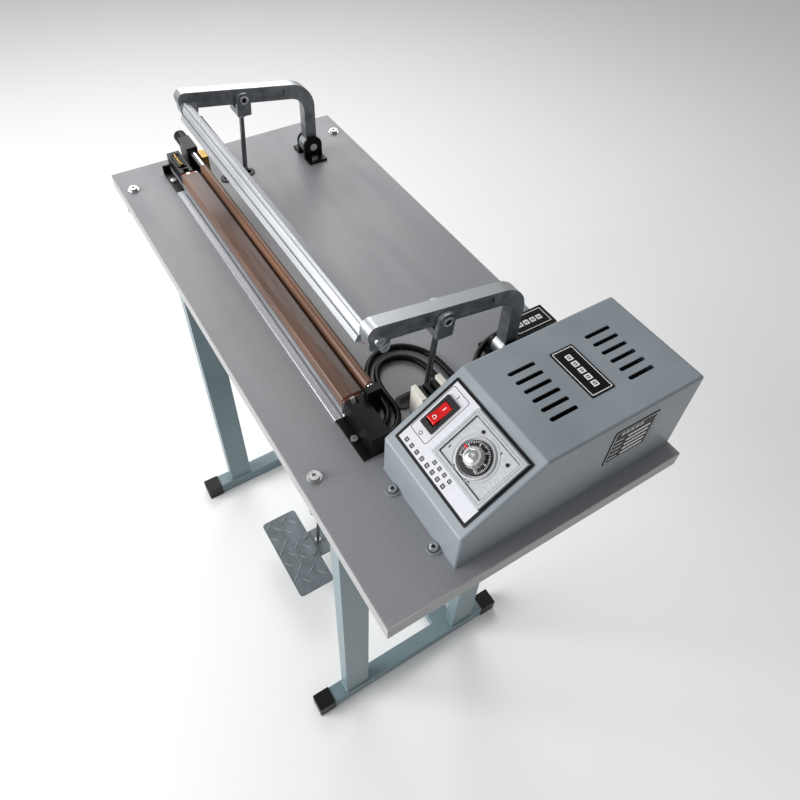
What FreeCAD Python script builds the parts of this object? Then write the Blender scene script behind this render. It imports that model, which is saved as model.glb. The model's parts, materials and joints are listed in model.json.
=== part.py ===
# Foot-operated impulse heat sealer on its own table stand.
# Millimetres, +Z up, floor at z = 0, operator side at -Y, control box at +X.
import FreeCAD
import Part
import math
import os
from FreeCAD import Vector, Rotation, Placement

# ---- driving dimensions -------------------------------------------------
deck = 715.0                    # table surface above the floor
table_length = 700.0
table_depth = 322.0
table_thickness = 18.0
edge_band = 1.2

leg_width = 20.0                # along X
leg_depth = 40.0                # along Y
leg_wall = 1.5
leg_y = 106.0                   # leg centres, front and rear
frame_x = (-293.0, 185.5)       # centre planes of the two leg frames
rail_size = 25.0
rail_bottom = 1.5
rail_half_length = 176.0
cap_size = 28.0
cap_length = 28.0
foot_half_length = 178.5
top_rail_width = 36.0
top_rail_half_length = 158.0
table_bolt_y = 146.0
table_bolt_x = (-303.0, 199.0)

cross_y = (60.0, 98.0)          # rear cross-member between the foot rails
cross_z = (5.0, 25.0)

pivot_y = 91.0                  # axis of the press arms
pivot_z = deck + 17.0
pivot_r = 5.0
close_angle = 22.5              # travel of the press arms
arm_thickness = 14.0
arm_x = (-276.0, 160.0)         # left faces of the two arms
arm_slope = -0.166              # fall of the arm towards the rear, open pose

block_y = 1.8                   # clevis pin on each arm
block_z = deck + 106.7
pedal_x = -53.0
pedal_pin_y = -49.0             # where the pedal rod meets the lever
pedal_pin_z = deck - 650.0
hinge_y = 112.0                 # pedal hinge axis
hinge_z = deck - 672.0
rod_r = 3.0

jaw_front = -90.6               # front face of the lower jaw wall
jaw_rear = -69.7
jaw_top = deck + 25.8
jaw_x = (-266.0, 155.0)
seal_y = -82.0                  # centre of the heating ribbon
cloth_top = deck + 27.35
closed_face = deck + 27.6       # underside of the silicone when closed
roller_y = -61.5
roller_z = deck + 30.0
roller_r = 4.0

box_x = (221.4, 335.3)
box_front = -87.8
box_rear = 159.7
box_height = 98.7
box_lip = 47.7                  # height of the vertical front
slope_top_y = -12.0             # where the sloped panel meets the top
sheet = 1.5
base_sheet = 1.5

cord_r = 3.3
gland_places = ((26.5, 10.0), (13.0, 10.0), (114.0, 14.0))
lead_end_x = (186.0, 197.0)     # where the jaw leads enter the right end bracket
lead_end_y = -81.0
lead_end_z = 5.4


# ---- helpers ------------------------------------------------------------
def block(x0, x1, y0, y1, z0, z1):
    return Part.makeBox(x1 - x0, y1 - y0, z1 - z0, Vector(x0, y0, z0))


def rod(start, end, radius):
    a = Vector(*start)
    b = Vector(*end)
    return Part.makeCylinder(radius, (b - a).Length, a, b - a)


def rounded_outline(points):
    """Closed outline in a plane from (point, corner radius) pairs."""
    edges = []
    count = len(points)
    starts = []
    for i in range(count):
        here, radius = points[i]
        before = points[i - 1][0]
        after = points[(i + 1) % count][0]
        back = (before - here).normalize()
        on = (after - here).normalize()
        if radius <= 0:
            starts.append((here, here, None))
            continue
        half = back.getAngle(on) / 2
        reach = radius / math.tan(half)
        middle = (back + on).normalize()
        depth = radius / math.sin(half) - radius
        starts.append((here + back * reach, here + on * reach, here + middle * depth))
    for i in range(count):
        first, last, middle = starts[i]
        if middle is not None:
            edges.append(Part.Arc(first, middle, last).toShape())
        following = starts[(i + 1) % count][0]
        if (following - last).Length > 1e-6:
            edges.append(Part.LineSegment(last, following).toShape())
    return Part.Face(Part.Wire(edges))


def profile_x(points, x0, x1):
    """Solid along X from (y, z, corner radius) outline points."""
    outline = [(Vector(x0, p[0], p[1]), p[2] if len(p) > 2 else 0) for p in points]
    return rounded_outline(outline).extrude(Vector(x1 - x0, 0, 0))


def profile_z(points, z0, z1):
    """Solid along Z from (x, y, corner radius) outline points."""
    outline = [(Vector(p[0], p[1], z0), p[2] if len(p) > 2 else 0) for p in points]
    return rounded_outline(outline).extrude(Vector(0, 0, z1 - z0))


def slot_z(x, y0, y1, half_width, z0, z1):
    """Round-ended slot along Y."""
    middle = block(x - half_width, x + half_width, y0 + half_width, y1 - half_width, z0, z1)
    ends = [rod((x, y, z0), (x, y, z1), half_width) for y in (y0 + half_width, y1 - half_width)]
    return middle.fuse(ends).removeSplitter()


def turned(shape, angle, centre, axis=(1, 0, 0)):
    copy = shape.copy()
    copy.rotate(Vector(*centre), Vector(*axis), angle)
    return copy


def opened(shape):
    """Move a shape drawn with the jaws closed to the open rest pose."""
    return turned(shape, -close_angle, (0, pivot_y, pivot_z))


def save(name, *shapes):
    solids = []
    for shape in shapes:
        solids.extend(shape.Solids)
    for solid in solids:
        if not solid.isValid():
            print("INVALID", name)
    result = solids[0] if len(solids) == 1 else Part.makeCompound(solids)
    result.exportStep("parts/" + name + ".step")
    print(name, len(solids), round(result.Volume, 1))


def hex_nut(centre, axis, across, height, bore):
    """Hexagonal nut; centre is the middle of its lower face."""
    axis = Vector(*axis).normalize()
    corner = across / math.sqrt(3)
    ring = [Vector(corner * math.cos(math.radians(60 * k)), corner * math.sin(math.radians(60 * k)), 0)
            for k in range(6)]
    face = Part.Face(Part.makePolygon(ring + [ring[0]]))
    nut = face.extrude(Vector(0, 0, height))
    nut = nut.cut(Part.makeCylinder(bore, height, Vector(0, 0, 0)))
    nut.Placement = Placement(Vector(*centre), Rotation(Vector(0, 0, 1), axis))
    return nut


def screw(head, axis, head_r, head_h, shank_r, length, socket_r=0.0):
    """Cap screw; head is the seat of the head, axis points out of the surface."""
    a = Vector(*head)
    d = Vector(*axis).normalize()
    body = Part.makeCylinder(head_r, head_h, a, d).fuse(Part.makeCylinder(shank_r, length, a - d * length, d))
    if socket_r:
        body = body.cut(Part.makeCylinder(socket_r, head_h * 0.6, a + d * head_h * 0.4, d))
    return body.removeSplitter()


# ---- table and stand ----------------------------------------------------
slot_y = (-36.0, 3.0)
arm_mid = [x + arm_thickness / 2 for x in arm_x]


def make_table():
    half_l = table_length / 2
    half_d = table_depth / 2
    inner_l = half_l - edge_band
    inner_d = half_d - edge_band
    under = deck - table_thickness
    top = block(-inner_l, inner_l, -inner_d, inner_d, under, deck)
    for x in arm_mid:
        top = top.cut(slot_z(x, slot_y[0] - 1, slot_y[1] + 1, 5.5, under, deck))
    for x in table_bolt_x:
        for y in (-table_bolt_y, table_bolt_y):
            top = top.cut(rod((x, y, under), (x, y, deck), 3.2))
    save("table_top", top)
    band = block(-half_l, half_l, -half_d, half_d, under, deck)
    band = band.cut(block(-inner_l, inner_l, -inner_d, inner_d, under, deck))
    save("table_edge_band", band)


def make_stand():
    under = deck - table_thickness
    top_plate = 4.0
    lip = 20.0
    leg_bottom = rail_bottom + rail_size
    legs = []
    rails = []
    tops = []
    caps = []
    for side, x in zip((-1, 1), frame_x):
        for y in (-leg_y, leg_y):
            tube = block(x - leg_width / 2, x + leg_width / 2, y - leg_depth / 2, y + leg_depth / 2,
                         leg_bottom, under - top_plate)
            bore = block(x - leg_width / 2 + leg_wall, x + leg_width / 2 - leg_wall,
                         y - leg_depth / 2 + leg_wall, y + leg_depth / 2 - leg_wall,
                         leg_bottom, under - top_plate)
            legs.append(tube.cut(bore))
        half = rail_size / 2
        rail = block(x - half, x + half, -rail_half_length, rail_half_length, rail_bottom, leg_bottom)
        bore = block(x - half + leg_wall, x + half - leg_wall, -rail_half_length, rail_half_length,
                     rail_bottom + leg_wall, leg_bottom - leg_wall)
        rails.append(rail.cut(bore))
        inner = x - side * leg_width / 2
        outer = inner + side * top_rail_width
        flat = block(min(inner, outer), max(inner, outer), -top_rail_half_length, top_rail_half_length,
                     under - top_plate, under)
        edge = outer - side * top_plate
        turned_lip = block(min(edge, outer), max(edge, outer), -top_rail_half_length,
                           top_rail_half_length, under - lip, under - top_plate)
        top_rail = flat.fuse(turned_lip).removeSplitter()
        for y in (-table_bolt_y, table_bolt_y):
            bolt_x = table_bolt_x[0] if side < 0 else table_bolt_x[1]
            top_rail = top_rail.cut(rod((bolt_x, y, under - top_plate), (bolt_x, y, under), 3.2))
        tops.append(top_rail)
        for end in (-1, 1):
            near = end * (foot_half_length - cap_length)
            far = end * foot_half_length
            cap = block(x - cap_size / 2, x + cap_size / 2, min(near, far), max(near, far), 0, cap_size)
            mouth = block(x - half, x + half, min(near, end * rail_half_length),
                          max(near, end * rail_half_length), rail_bottom, leg_bottom)
            caps.append(cap.cut(mouth))
    save("leg_frames", *legs, *tops)
    save("foot_rails", *rails)
    save("foot_caps", *caps)


def table_bolts():
    under = deck - table_thickness
    top_plate = 4.0
    bolts = []
    for x in table_bolt_x:
        for y in (-table_bolt_y, table_bolt_y):
            washer = Part.makeCylinder(7, 1.2, Vector(x, y, deck)).cut(
                Part.makeCylinder(3.0, 1.2, Vector(x, y, deck)))
            bolt = screw((x, y, deck + 1.2), (0, 0, 1), 5.2, 3.2, 3.0, 32, 2.0)
            nut = hex_nut((x, y, under - top_plate - 5), (0, 0, 1), 10, 5, 3.0)
            bolts.extend([bolt, washer, nut])
    return bolts


def make_cross_member():
    inner_left = frame_x[0] + rail_size / 2
    inner_right = frame_x[1] - rail_size / 2
    tube = block(inner_left, inner_right, cross_y[0], cross_y[1], cross_z[0], cross_z[1])
    tube = tube.cut(block(inner_left, inner_right, cross_y[0] + leg_wall, cross_y[1] - leg_wall,
                          cross_z[0] + leg_wall, cross_z[1] - leg_wall))
    lug_gap = 28.5
    lug_thickness = 4.0
    for side in (-1, 1):
        x0 = pedal_x + side * lug_gap
        x1 = x0 + side * lug_thickness
        lug = profile_x([(76, cross_z[1]), (cross_y[1], cross_z[1]), (hinge_y + 9, hinge_z - 6, 4),
                         (hinge_y + 9, hinge_z + 9, 6), (hinge_y - 9, hinge_z + 9, 6),
                         (76, cross_z[1] + 6)], min(x0, x1), max(x0, x1))
        lug = lug.cut(rod((min(x0, x1), hinge_y, hinge_z), (max(x0, x1), hinge_y, hinge_z), 4.02))
        tube = tube.fuse(lug)
    save("cross_member", tube.removeSplitter())
    pin_end = lug_gap + lug_thickness
    pin = rod((pedal_x - pin_end - 3, hinge_y, hinge_z), (pedal_x + pin_end + 2, hinge_y, hinge_z), 4.0)
    head = rod((pedal_x - pin_end - 3, hinge_y, hinge_z), (pedal_x - pin_end - 0.1, hinge_y, hinge_z), 6.5)
    save("pedal_hinge_pin", pin.fuse(head).removeSplitter())


# ---- press arms, pressure bar -------------------------------------------
def arm_line(y):
    """Underside of the straight part of an arm, open pose."""
    return deck + 108.8 + arm_slope * (y + 49.5)


def make_arms():
    height = 18.4
    tip = -76.0
    leg_front = 83.5
    leg_back = 98.5
    for name, x0 in zip(("arm_left", "arm_right"), arm_x):
        x1 = x0 + arm_thickness
        arm = profile_x([(tip, arm_line(tip) - 1, 8), (leg_front, arm_line(leg_front), 20),
                         (leg_front, pivot_z), (leg_back, pivot_z), (leg_back, arm_line(leg_back) + height, 36),
                         (tip, arm_line(tip) + height, 8.5)], x0, x1)
        boss = rod((x0, pivot_y, pivot_z), (x1, pivot_y, pivot_z), 13)
        pad = profile_x([(-74.5, deck + 103, 5), (-55, deck + 100.5, 5), (-53, deck + 112),
                         (-74.5, deck + 118)], x0, x1)
        arm = arm.fuse([boss, pad]).removeSplitter()
        # shallow panels in both sides of the casting, either side of the clevis
        for y0, y1 in ((-48.0, -15.0), (18.0, 58.0)):
            z0 = arm_line(y0) + height / 2
            z1 = arm_line(y1) + height / 2
            half = 5.2
            for face in (x0, x1 - 2.0):
                panel = profile_x([(y0, z0 - half, 2), (y1, z1 - half, 2), (y1, z1 + half, 2),
                                   (y0, z0 + half, 2)], face, face + 2.0)
                arm = arm.cut(panel)
        arm = arm.cut(rod((x0, pivot_y, pivot_z), (x1, pivot_y, pivot_z), pivot_r + 0.05))
        arm = arm.cut(rod((x0, block_y, block_z), (x1, block_y, block_z), 3.05))
        for y, z in bar_bolt_points():
            arm = arm.cut(rod((x0, y, z), (x1, y, z), 3.05))
        save(name, arm)


def bar_bolt_points():
    """Open-pose places of the two bolts through each arm tip."""
    return [(-66.5, deck + 116.5), (-62.0, deck + 106.5)]


bar_front = -98.0
bar_back = -72.0
bar_base = (closed_face + 2.5, closed_face + 7.0)
bar_top = closed_face + 24.4
bar_web = 7.5
bar_gap = 4.0


def make_bar():
    left = arm_x[0] + arm_thickness + bar_gap
    right = arm_x[1] - bar_gap
    section = profile_x([(bar_front, bar_base[0], 1.0), (bar_back, bar_base[0], 1.0),
                         (bar_back, bar_base[1] + 3.0, 0.8), (bar_back - 3, bar_base[1] + 3.0, 0.8),
                         (bar_back - 3, bar_base[1]), (bar_front + bar_web, bar_base[1], 2.0),
                         (bar_front + bar_web, bar_top, 1.0), (bar_front, bar_top, 1.0)], left, right)
    groove = block(left, right, bar_front, bar_front + 1.5, closed_face + 9.6, closed_face + 13.2)
    line = block(left, right, bar_front, bar_front + 0.7, bar_top - 4.2, bar_top - 3.2)
    seat = block(left, right, seal_y - 7.1, seal_y + 7.1, bar_base[0], bar_base[0] + 1.0)
    bore = block(left, right, bar_front + 3.0, bar_front + bar_web - 2.0,
                 bar_base[1] + 7.5, bar_top - 2.5)
    bar = section.cut(groove).cut(line).cut(seat).cut(bore)
    foot_y = (-86.2, -79.2)
    for x in (left + 9, right - 9):
        for y in foot_y:
            bar = bar.cut(rod((x, y, bar_base[0] + 1.0), (x, y, bar_base[1]), 2.05))
    save("pressure_bar", opened(bar))
    strip = profile_x([(seal_y - 7, closed_face, 1.2), (seal_y + 7, closed_face, 1.2),
                       (seal_y + 7, bar_base[0] + 1.0), (seal_y - 7, bar_base[0] + 1.0)], left, right)
    save("silicone_strip", opened(strip))

    brackets = []
    bolts = []
    for side, face in ((-1, arm_x[0] + arm_thickness), (1, arm_x[1])):
        wall_out = face
        wall_in = face - side * 3.6
        foot_end = face - side * 22.0
        foot = block(min(wall_out, foot_end), max(wall_out, foot_end), -88.3, -75.4,
                     bar_base[1], bar_base[1] + 3.0)
        outline = [(-73.5, deck + 102.5, 3), (-56, deck + 99.5, 3), (-56, deck + 118, 3), (-73.5, deck + 121, 3)]
        wall = profile_x(outline, min(wall_out, wall_in), max(wall_out, wall_in))
        bracket = opened(foot)
        bracket = bracket.fuse(wall).removeSplitter()
        for y, z in bar_bolt_points():
            bracket = bracket.cut(rod((face - 5, y, z), (face + 5, y, z), 3.05))
        hole_x = (arm_x[0] + arm_thickness + bar_gap + 9) if side < 0 else (arm_x[1] - bar_gap - 9)
        for y in foot_y:
            hole = rod((hole_x, y, bar_base[1] - 1), (hole_x, y, bar_base[1] + 4), 2.05)
            bracket = bracket.cut(opened(hole))
            bolts.append(opened(screw((hole_x, y, bar_base[1] + 3.0), (0, 0, 1), 3.4, 3.6, 2.0, 6.4, 1.4)))
        brackets.append(bracket)
        for y, z in bar_bolt_points():
            outer = face + side * arm_thickness
            bolts.append(screw((outer, y, z), (side, 0, 0), 4.9, 5.0, 3.0, 17.6, 2.2))
    save("bar_end_brackets", *brackets)
    save("bar_bolts", *bolts)


def make_pivots():
    ear = 3.5
    gap = 0.6
    plates = []
    pins = []
    for x0 in arm_x:
        for side in (-1, 1):
            face = x0 + arm_thickness / 2 + side * (arm_thickness / 2 + gap)
            back = face + side * ear
            toe = back + side * 14.0
            upright = profile_x([(pivot_y - 13, deck), (pivot_y + 13, deck),
                                 (pivot_y + 13, pivot_z + 13, 11), (pivot_y - 13, pivot_z + 13, 11)],
                                min(face, back), max(face, back))
            foot = profile_z([(min(face, toe), pivot_y - 13, 0), (max(face, toe), pivot_y - 13, 0),
                              (max(face, toe), pivot_y + 13, 0), (min(face, toe), pivot_y + 13, 0)],
                             deck, deck + ear)
            plate = upright.fuse(foot).removeSplitter()
            plate = plate.cut(rod((min(face, back), pivot_y, pivot_z), (max(face, back), pivot_y, pivot_z),
                                  pivot_r + 0.02))
            hole_x = back + side * 7.5
            plate = plate.cut(rod((hole_x, pivot_y - 2, deck), (hole_x, pivot_y - 2, deck + ear), 2.05))
            plates.append(plate)
        middle = x0 + arm_thickness / 2
        reach = arm_thickness / 2 + gap + ear
        pin = rod((middle - reach - 2.5, pivot_y, pivot_z), (middle + reach + 1.5, pivot_y, pivot_z), pivot_r)
        head = rod((middle - reach - 2.5, pivot_y, pivot_z), (middle - reach - 0.1, pivot_y, pivot_z), 7.5)
        pins.append(pin.fuse(head).removeSplitter())
    save("arm_brackets", *plates)
    save("pivot_pins", *pins)


# ---- pull frame: clevis blocks, rods, crossbar, pedal rod ----------------
rod_span = math.hypot(pedal_pin_y - block_y, pedal_pin_z - block_z)
rod_lean = math.degrees(math.atan2(block_y - pedal_pin_y, block_z - pedal_pin_z))
crossbar_drop = 178.7           # from the clevis pins to the crossbar centre
crossbar_half = 10.0


def leaning(shape):
    """Lean a shape drawn hanging straight down from the clevis pins."""
    return turned(shape, -rod_lean, (0, block_y, block_z))


def make_pull_frame():
    blocks = []
    pins = []
    rods = []
    nuts = []
    cheek = 4.5
    side_gap = 0.5
    width = 9.0
    floor_z = block_z - 20.5
    for middle in arm_mid:
        half = arm_thickness / 2 + side_gap + cheek
        body = profile_x([(block_y - width, floor_z, 1.5), (block_y + width, floor_z, 1.5),
                          (block_y + width, block_z + 8, 7.5), (block_y - width, block_z + 8, 7.5)],
                         middle - half, middle + half)
        gap = block(middle - half + cheek, middle + half - cheek, block_y - width, block_y + width,
                    block_z - 11.5, block_z + 9)
        body = body.cut(gap)
        body = body.cut(rod((middle - half, block_y, block_z), (middle + half, block_y, block_z), 3.02))
        body = body.cut(rod((middle, block_y, floor_z), (middle, block_y, block_z - 11.5), rod_r + 0.02))
        blocks.append(leaning(body))
        pin = rod((middle - half - 1.6, block_y, block_z), (middle + half + 1.6, block_y, block_z), 3.0)
        head = rod((middle + half + 0.1, block_y, block_z), (middle + half + 1.8, block_y, block_z), 5.4)
        pins.append(pin.fuse(head).removeSplitter())
        top = (middle, block_y, block_z - 12.5)
        low = (middle, block_y, block_z - crossbar_drop - crossbar_half - 12)
        rods.append(leaning(rod(top, low, rod_r)))
        for z in (floor_z - 5.2, block_z - crossbar_drop + crossbar_half + 0.1,
                  block_z - crossbar_drop - crossbar_half - 5.1):
            nuts.append(leaning(hex_nut((middle, block_y, z), (0, 0, 1), 10, 5, rod_r + 0.02)))
    z_bar = block_z - crossbar_drop
    bar = block(arm_mid[0] - 12, arm_mid[1] + 12, block_y - crossbar_half, block_y + crossbar_half,
                z_bar - crossbar_half, z_bar + crossbar_half)
    bar = bar.cut(block(arm_mid[0] - 12, arm_mid[1] + 12, block_y - crossbar_half + 1.5,
                        block_y + crossbar_half - 1.5, z_bar - crossbar_half + 1.5,
                        z_bar + crossbar_half - 1.5))
    for x in (arm_mid[0], arm_mid[1], pedal_x):
        bar = bar.cut(rod((x, block_y, z_bar - 15), (x, block_y, z_bar + 15), rod_r + 0.02))
    save("clevis_blocks", *blocks)
    save("clevis_pins", *pins)
    save("pull_rods", *rods)
    save("pull_crossbar", leaning(bar))
    low = block_z - rod_span
    long_rod = rod((pedal_x, block_y, z_bar + crossbar_half + 9), (pedal_x, block_y, low - 16), rod_r)
    save("pedal_rod", leaning(long_rod))
    for z in (z_bar + crossbar_half + 0.1, z_bar - crossbar_half - 5.1, low + 6.0, low - 11.5):
        nuts.append(leaning(hex_nut((pedal_x, block_y, z), (0, 0, 1), 10, 5, rod_r + 0.02)))
    save("rod_nuts", *nuts)


# ---- pedal --------------------------------------------------------------
def make_pedal():
    plate_x = (pedal_x - 81, pedal_x + 81)
    plate_y = (-124.0, -58.0)
    plate_top = pedal_pin_z + 5.0
    plate = profile_z([(plate_x[0], plate_y[0], 6), (plate_x[1], plate_y[0], 6),
                       (plate_x[1], plate_y[1], 6), (plate_x[0], plate_y[1], 6)],
                      plate_top - 3.0, plate_top)
    # raised tread bars in a basket-weave of alternate directions
    bars = []
    pitch = 22.0
    row = 0
    y = plate_y[0] + 12.0
    while y < plate_y[1] - 6:
        x = plate_x[0] + 12.0 + (pitch / 2 if row % 2 else 0)
        column = 0
        while x < plate_x[1] - 8:
            tread = block(x - 6.5, x + 6.5, y - 1.2, y + 1.2, plate_top - 0.5, plate_top + 1.0)
            angle = 35 if (row + column) % 2 else -55
            bars.append(turned(tread, angle, (x, y, 0), (0, 0, 1)))
            x += pitch
            column += 1
        y += 14.0
        row += 1
    plate = plate.fuse(bars).removeSplitter()
    lever_half = 27.0
    thickness = 5.0
    under = plate_top - 3.0
    lever = profile_x([(-76, under - thickness), (-22, under - thickness, 30),
                       (hinge_y, hinge_z - 2.5), (hinge_y, hinge_z + 2.5), (-21, under, 35),
                       (-76, under)], pedal_x - lever_half, pedal_x + lever_half)
    barrel = rod((pedal_x - lever_half, hinge_y, hinge_z), (pedal_x + lever_half, hinge_y, hinge_z), 8)
    lever = lever.fuse(barrel).removeSplitter()
    lever = lever.cut(rod((pedal_x - lever_half, hinge_y, hinge_z),
                          (pedal_x + lever_half, hinge_y, hinge_z), 4.06))
    lever = lever.cut(rod((pedal_x, pedal_pin_y, pedal_pin_z - 12), (pedal_x, pedal_pin_y, pedal_pin_z + 12),
                          4.8))
    bolts = []
    for x in (pedal_x - 18, pedal_x + 18):
        hole = rod((x, -67, under - thickness), (x, -67, plate_top), 2.6)
        plate = plate.cut(hole).cut(rod((x, -67, plate_top), (x, -67, plate_top + 2), 5.0))
        lever = lever.cut(hole)
        bolts.append(screw((x, -67, plate_top), (0, 0, 1), 4.6, 2.0, 2.5, 8.0))
        bolts.append(hex_nut((x, -67, under - thickness - 4), (0, 0, 1), 8, 4, 2.5))
    save("pedal_plate", plate)
    save("pedal_lever", lever)
    save("pedal_bolts", *bolts)

    # return spring between the cross-member and the lever, on a seat pin
    spring_y = 79.0
    low = cross_z[1]
    high = deck - 670.6
    turns = 4.5
    wire = 1.0
    coil = 6.0
    helix = Part.makeHelix((high - low - 2 * wire) / turns, high - low - 2 * wire, coil)
    helix.translate(Vector(pedal_x, spring_y, low + wire))
    section = Part.Wire(Part.makeCircle(wire, Vector(pedal_x + coil, spring_y, low + wire), Vector(0, 1, 0)))
    spring = Part.Wire(helix.Edges).makePipeShell([section], True, True)
    save("pedal_return_spring", spring)


# ---- lower jaw ----------------------------------------------------------
def make_jaw():
    x0, x1 = jaw_x
    wall = 2.6
    beam = profile_x([(-101, deck, 0.5), (-62, deck, 0.5), (-62, deck + 3, 1), (jaw_rear, deck + 3, 1),
                      (jaw_rear, jaw_top, 1.2), (jaw_front, jaw_top, 1.2), (jaw_front, deck + 3.5, 1),
                      (-101, deck + 3.5, 1)], x0, x1)
    beam = beam.cut(block(x0, x1, jaw_front + wall, jaw_rear - wall, deck + 3, jaw_top - wall))
    beam = beam.cut(block(x0, x1, -94.0, -93.0, deck + 2.8, deck + 3.5))
    lx = (-320.0, x0 - 2.5)
    end_block = block(lx[0] + 2, lx[1], jaw_front + 0.4, jaw_rear - 5.0, deck, deck + 12)
    save("jaw_beam", beam, end_block)
    save("jaw_insulation", block(x0, x1, seal_y - 8.5, seal_y + 8.5, jaw_top, jaw_top + 0.75))

    ribbon_z = jaw_top + 0.8
    thick = 0.4
    drop = 5.0
    path = [(x0 - 14, ribbon_z - drop), (x0 - 6.5, ribbon_z - drop), (x0 - 1, ribbon_z),
            (x1 + 1, ribbon_z), (x1 + 6.5, ribbon_z - drop), (x1 + 16, ribbon_z - drop)]
    outline = [Vector(x, seal_y - 2.5, z) for x, z in path]
    outline += [Vector(x, seal_y - 2.5, z + thick) for x, z in reversed(path)]
    ribbon = Part.Face(Part.makePolygon(outline + [outline[0]])).extrude(Vector(0, 5, 0))
    save("heating_ribbon", ribbon)

    # release cloth: up the front wall, over the top, round the roller
    cx = (x0 + 4, x1 - 1)
    t = 0.3
    front = block(cx[0], cx[1], jaw_front - t, jaw_front, deck + 5, cloth_top)
    over = block(cx[0], cx[1], jaw_front - t, jaw_rear, cloth_top - t, cloth_top)
    ring_in = roller_r + 0.3
    ring_out = ring_in + 0.5
    centre = Vector(cx[0], roller_y, roller_z)
    ring = Part.makeCylinder(ring_out, cx[1] - cx[0], centre, Vector(1, 0, 0))
    ring = ring.cut(Part.makeCylinder(ring_in, cx[1] - cx[0], centre, Vector(1, 0, 0)))
    touch = math.radians(118)
    ty = roller_y + (ring_out - 0.2) * math.cos(touch)
    tz = roller_z + (ring_out - 0.2) * math.sin(touch)
    ramp = profile_x([(jaw_rear - 0.3, cloth_top - t), (jaw_rear + 0.1, cloth_top - t),
                      (ty + 0.1, tz - t), (ty, tz), (jaw_rear - 0.3, cloth_top)], cx[0], cx[1])
    cloth = front.fuse([over, ring, ramp]).removeSplitter()
    save("ptfe_cloth", cloth)
    clamp_y = jaw_front - t
    clamp = block(cx[0], cx[1], clamp_y - 1.3, clamp_y, deck + 7, deck + 15)
    save("cloth_clamp_strip", clamp)

    # left end: black cover bracket with foot, over the aluminium end block
    top = deck + 27.0
    cover = block(lx[0], lx[1], jaw_front, jaw_rear - 4.6, deck + 12, top)
    cover = cover.cut(block(lx[0] + 2, lx[1], jaw_front + 2, jaw_rear - 6.6, deck + 12, top - 2))
    tail = block(lx[0], lx[0] + 2, -100, jaw_rear - 4.6, deck, deck + 12)
    foot = block(lx[0], lx[1] + 1, -100, jaw_front, deck, deck + 3)
    left = cover.fuse([tail, foot]).removeSplitter()
    left = left.cut(block(lx[1] - 8, lx[1], seal_y - 3.5, seal_y + 3.5, deck + 20, top))
    left = left.cut(rod((-293, -95.6, deck), (-293, -95.6, deck + 3), 2.05))
    save("jaw_end_bracket_left", left)

    rx = (x1 + 0.5, 207.0)
    cover = block(rx[0], rx[1], jaw_front, jaw_rear - 1.0, deck, top)
    cover = cover.cut(block(rx[0], rx[1] - 2.5, jaw_front + 2.5, jaw_rear - 3.5, deck, top - 2))
    foot = block(rx[0], rx[1], -99.6, jaw_front, deck, deck + 3)
    post = block(157, 165, jaw_rear - 1.0, -56.0, deck, roller_z + 6)
    right = cover.fuse([foot, post]).removeSplitter()
    right = right.cut(block(rx[0], rx[0] + 8, seal_y - 3.5, seal_y + 3.5, deck + 20, top))
    right = right.cut(rod((157, roller_y, roller_z), (163, roller_y, roller_z), roller_r + 0.05))
    right = right.cut(rod((183, -95.6, deck), (183, -95.6, deck + 3), 2.05))
    for x in lead_end_x:
        right = right.cut(rod((x, jaw_rear, deck + lead_end_z), (x, jaw_rear - 5, deck + lead_end_z), cord_r))
    save("jaw_end_bracket_right", right)

    housing = block(-331, -300, -68.5, -54.5, deck, roller_z + 8)
    housing = housing.cut(rod((-331, roller_y, roller_z), (-300, roller_y, roller_z), roller_r + 0.05))
    save("roller_housing", housing)

    clamp_left = block(-290, -276, seal_y - 4, seal_y + 4, deck + 13, ribbon_z - drop)
    clamp_right = block(x1 + 10, x1 + 24, seal_y - 4, seal_y + 4, deck + 6, ribbon_z - drop)
    post_left = block(-296, -278, -56.5, -48.5, deck, deck + 34)
    lead_blocks = [block(x - 4.4, x + 4.4, lead_end_y - 6, lead_end_y, deck + 1.2, deck + 9.6) for x in lead_end_x]
    save("brass_terminals", clamp_left, clamp_right, post_left, *lead_blocks)

    spring_x = (-316.5, -290.5)
    wire = 0.6
    coil = 2.6
    helix = Part.makeHelix(3.2, spring_x[1] - spring_x[0] - 2 * wire, coil)
    profile = Part.Wire(Part.makeCircle(wire, Vector(coil, 0, 0), Vector(0, 1, 0)))
    spring = Part.Wire(helix.Edges).makePipeShell([profile], True, True)
    spring.Placement = Placement(Vector(spring_x[0] + wire, seal_y, deck + 17.6),
                                 Rotation(Vector(0, 0, 1), Vector(1, 0, 0)))
    save("ribbon_tension_spring", spring)

    roller = rod((-338, roller_y, roller_z), (162.5, roller_y, roller_z), roller_r)
    save("cloth_roller", roller)
    knob = rod((-348, roller_y, roller_z), (-332, roller_y, roller_z), 8)
    ribs = 20
    for k in range(ribs):
        angle = 2 * math.pi * k / ribs
        y = roller_y + 8.1 * math.cos(angle)
        z = roller_z + 8.1 * math.sin(angle)
        knob = knob.cut(rod((-346, y, z), (-335, y, z), 0.7))
    knob = knob.cut(rod((-338.1, roller_y, roller_z), (-332, roller_y, roller_z), roller_r + 0.01))
    save("roller_knob", knob)


# ---- control box --------------------------------------------------------
slope_angle = math.degrees(math.atan2(box_height - box_lip, slope_top_y - box_front))
slope_length = math.hypot(box_height - box_lip, slope_top_y - box_front)


def on_panel(shape):
    """Move a shape drawn flat (x, distance up the slope, height above it) onto the sloped panel."""
    copy = shape.copy()
    copy.rotate(Vector(0, 0, 0), Vector(1, 0, 0), slope_angle)
    copy.translate(Vector(0, box_front, deck + box_lip))
    return copy


rocker_x = 242.4
rocker_v = 50.4
dial_x = 293.4
dial_v = 50.4
timer_x = (262.8, 326.4)
timer_v = (26.2, 78.4)
timer_body_v = (dial_v - 20, dial_v + 20)
timer_top = 4.4                 # frame height above the panel


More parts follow.
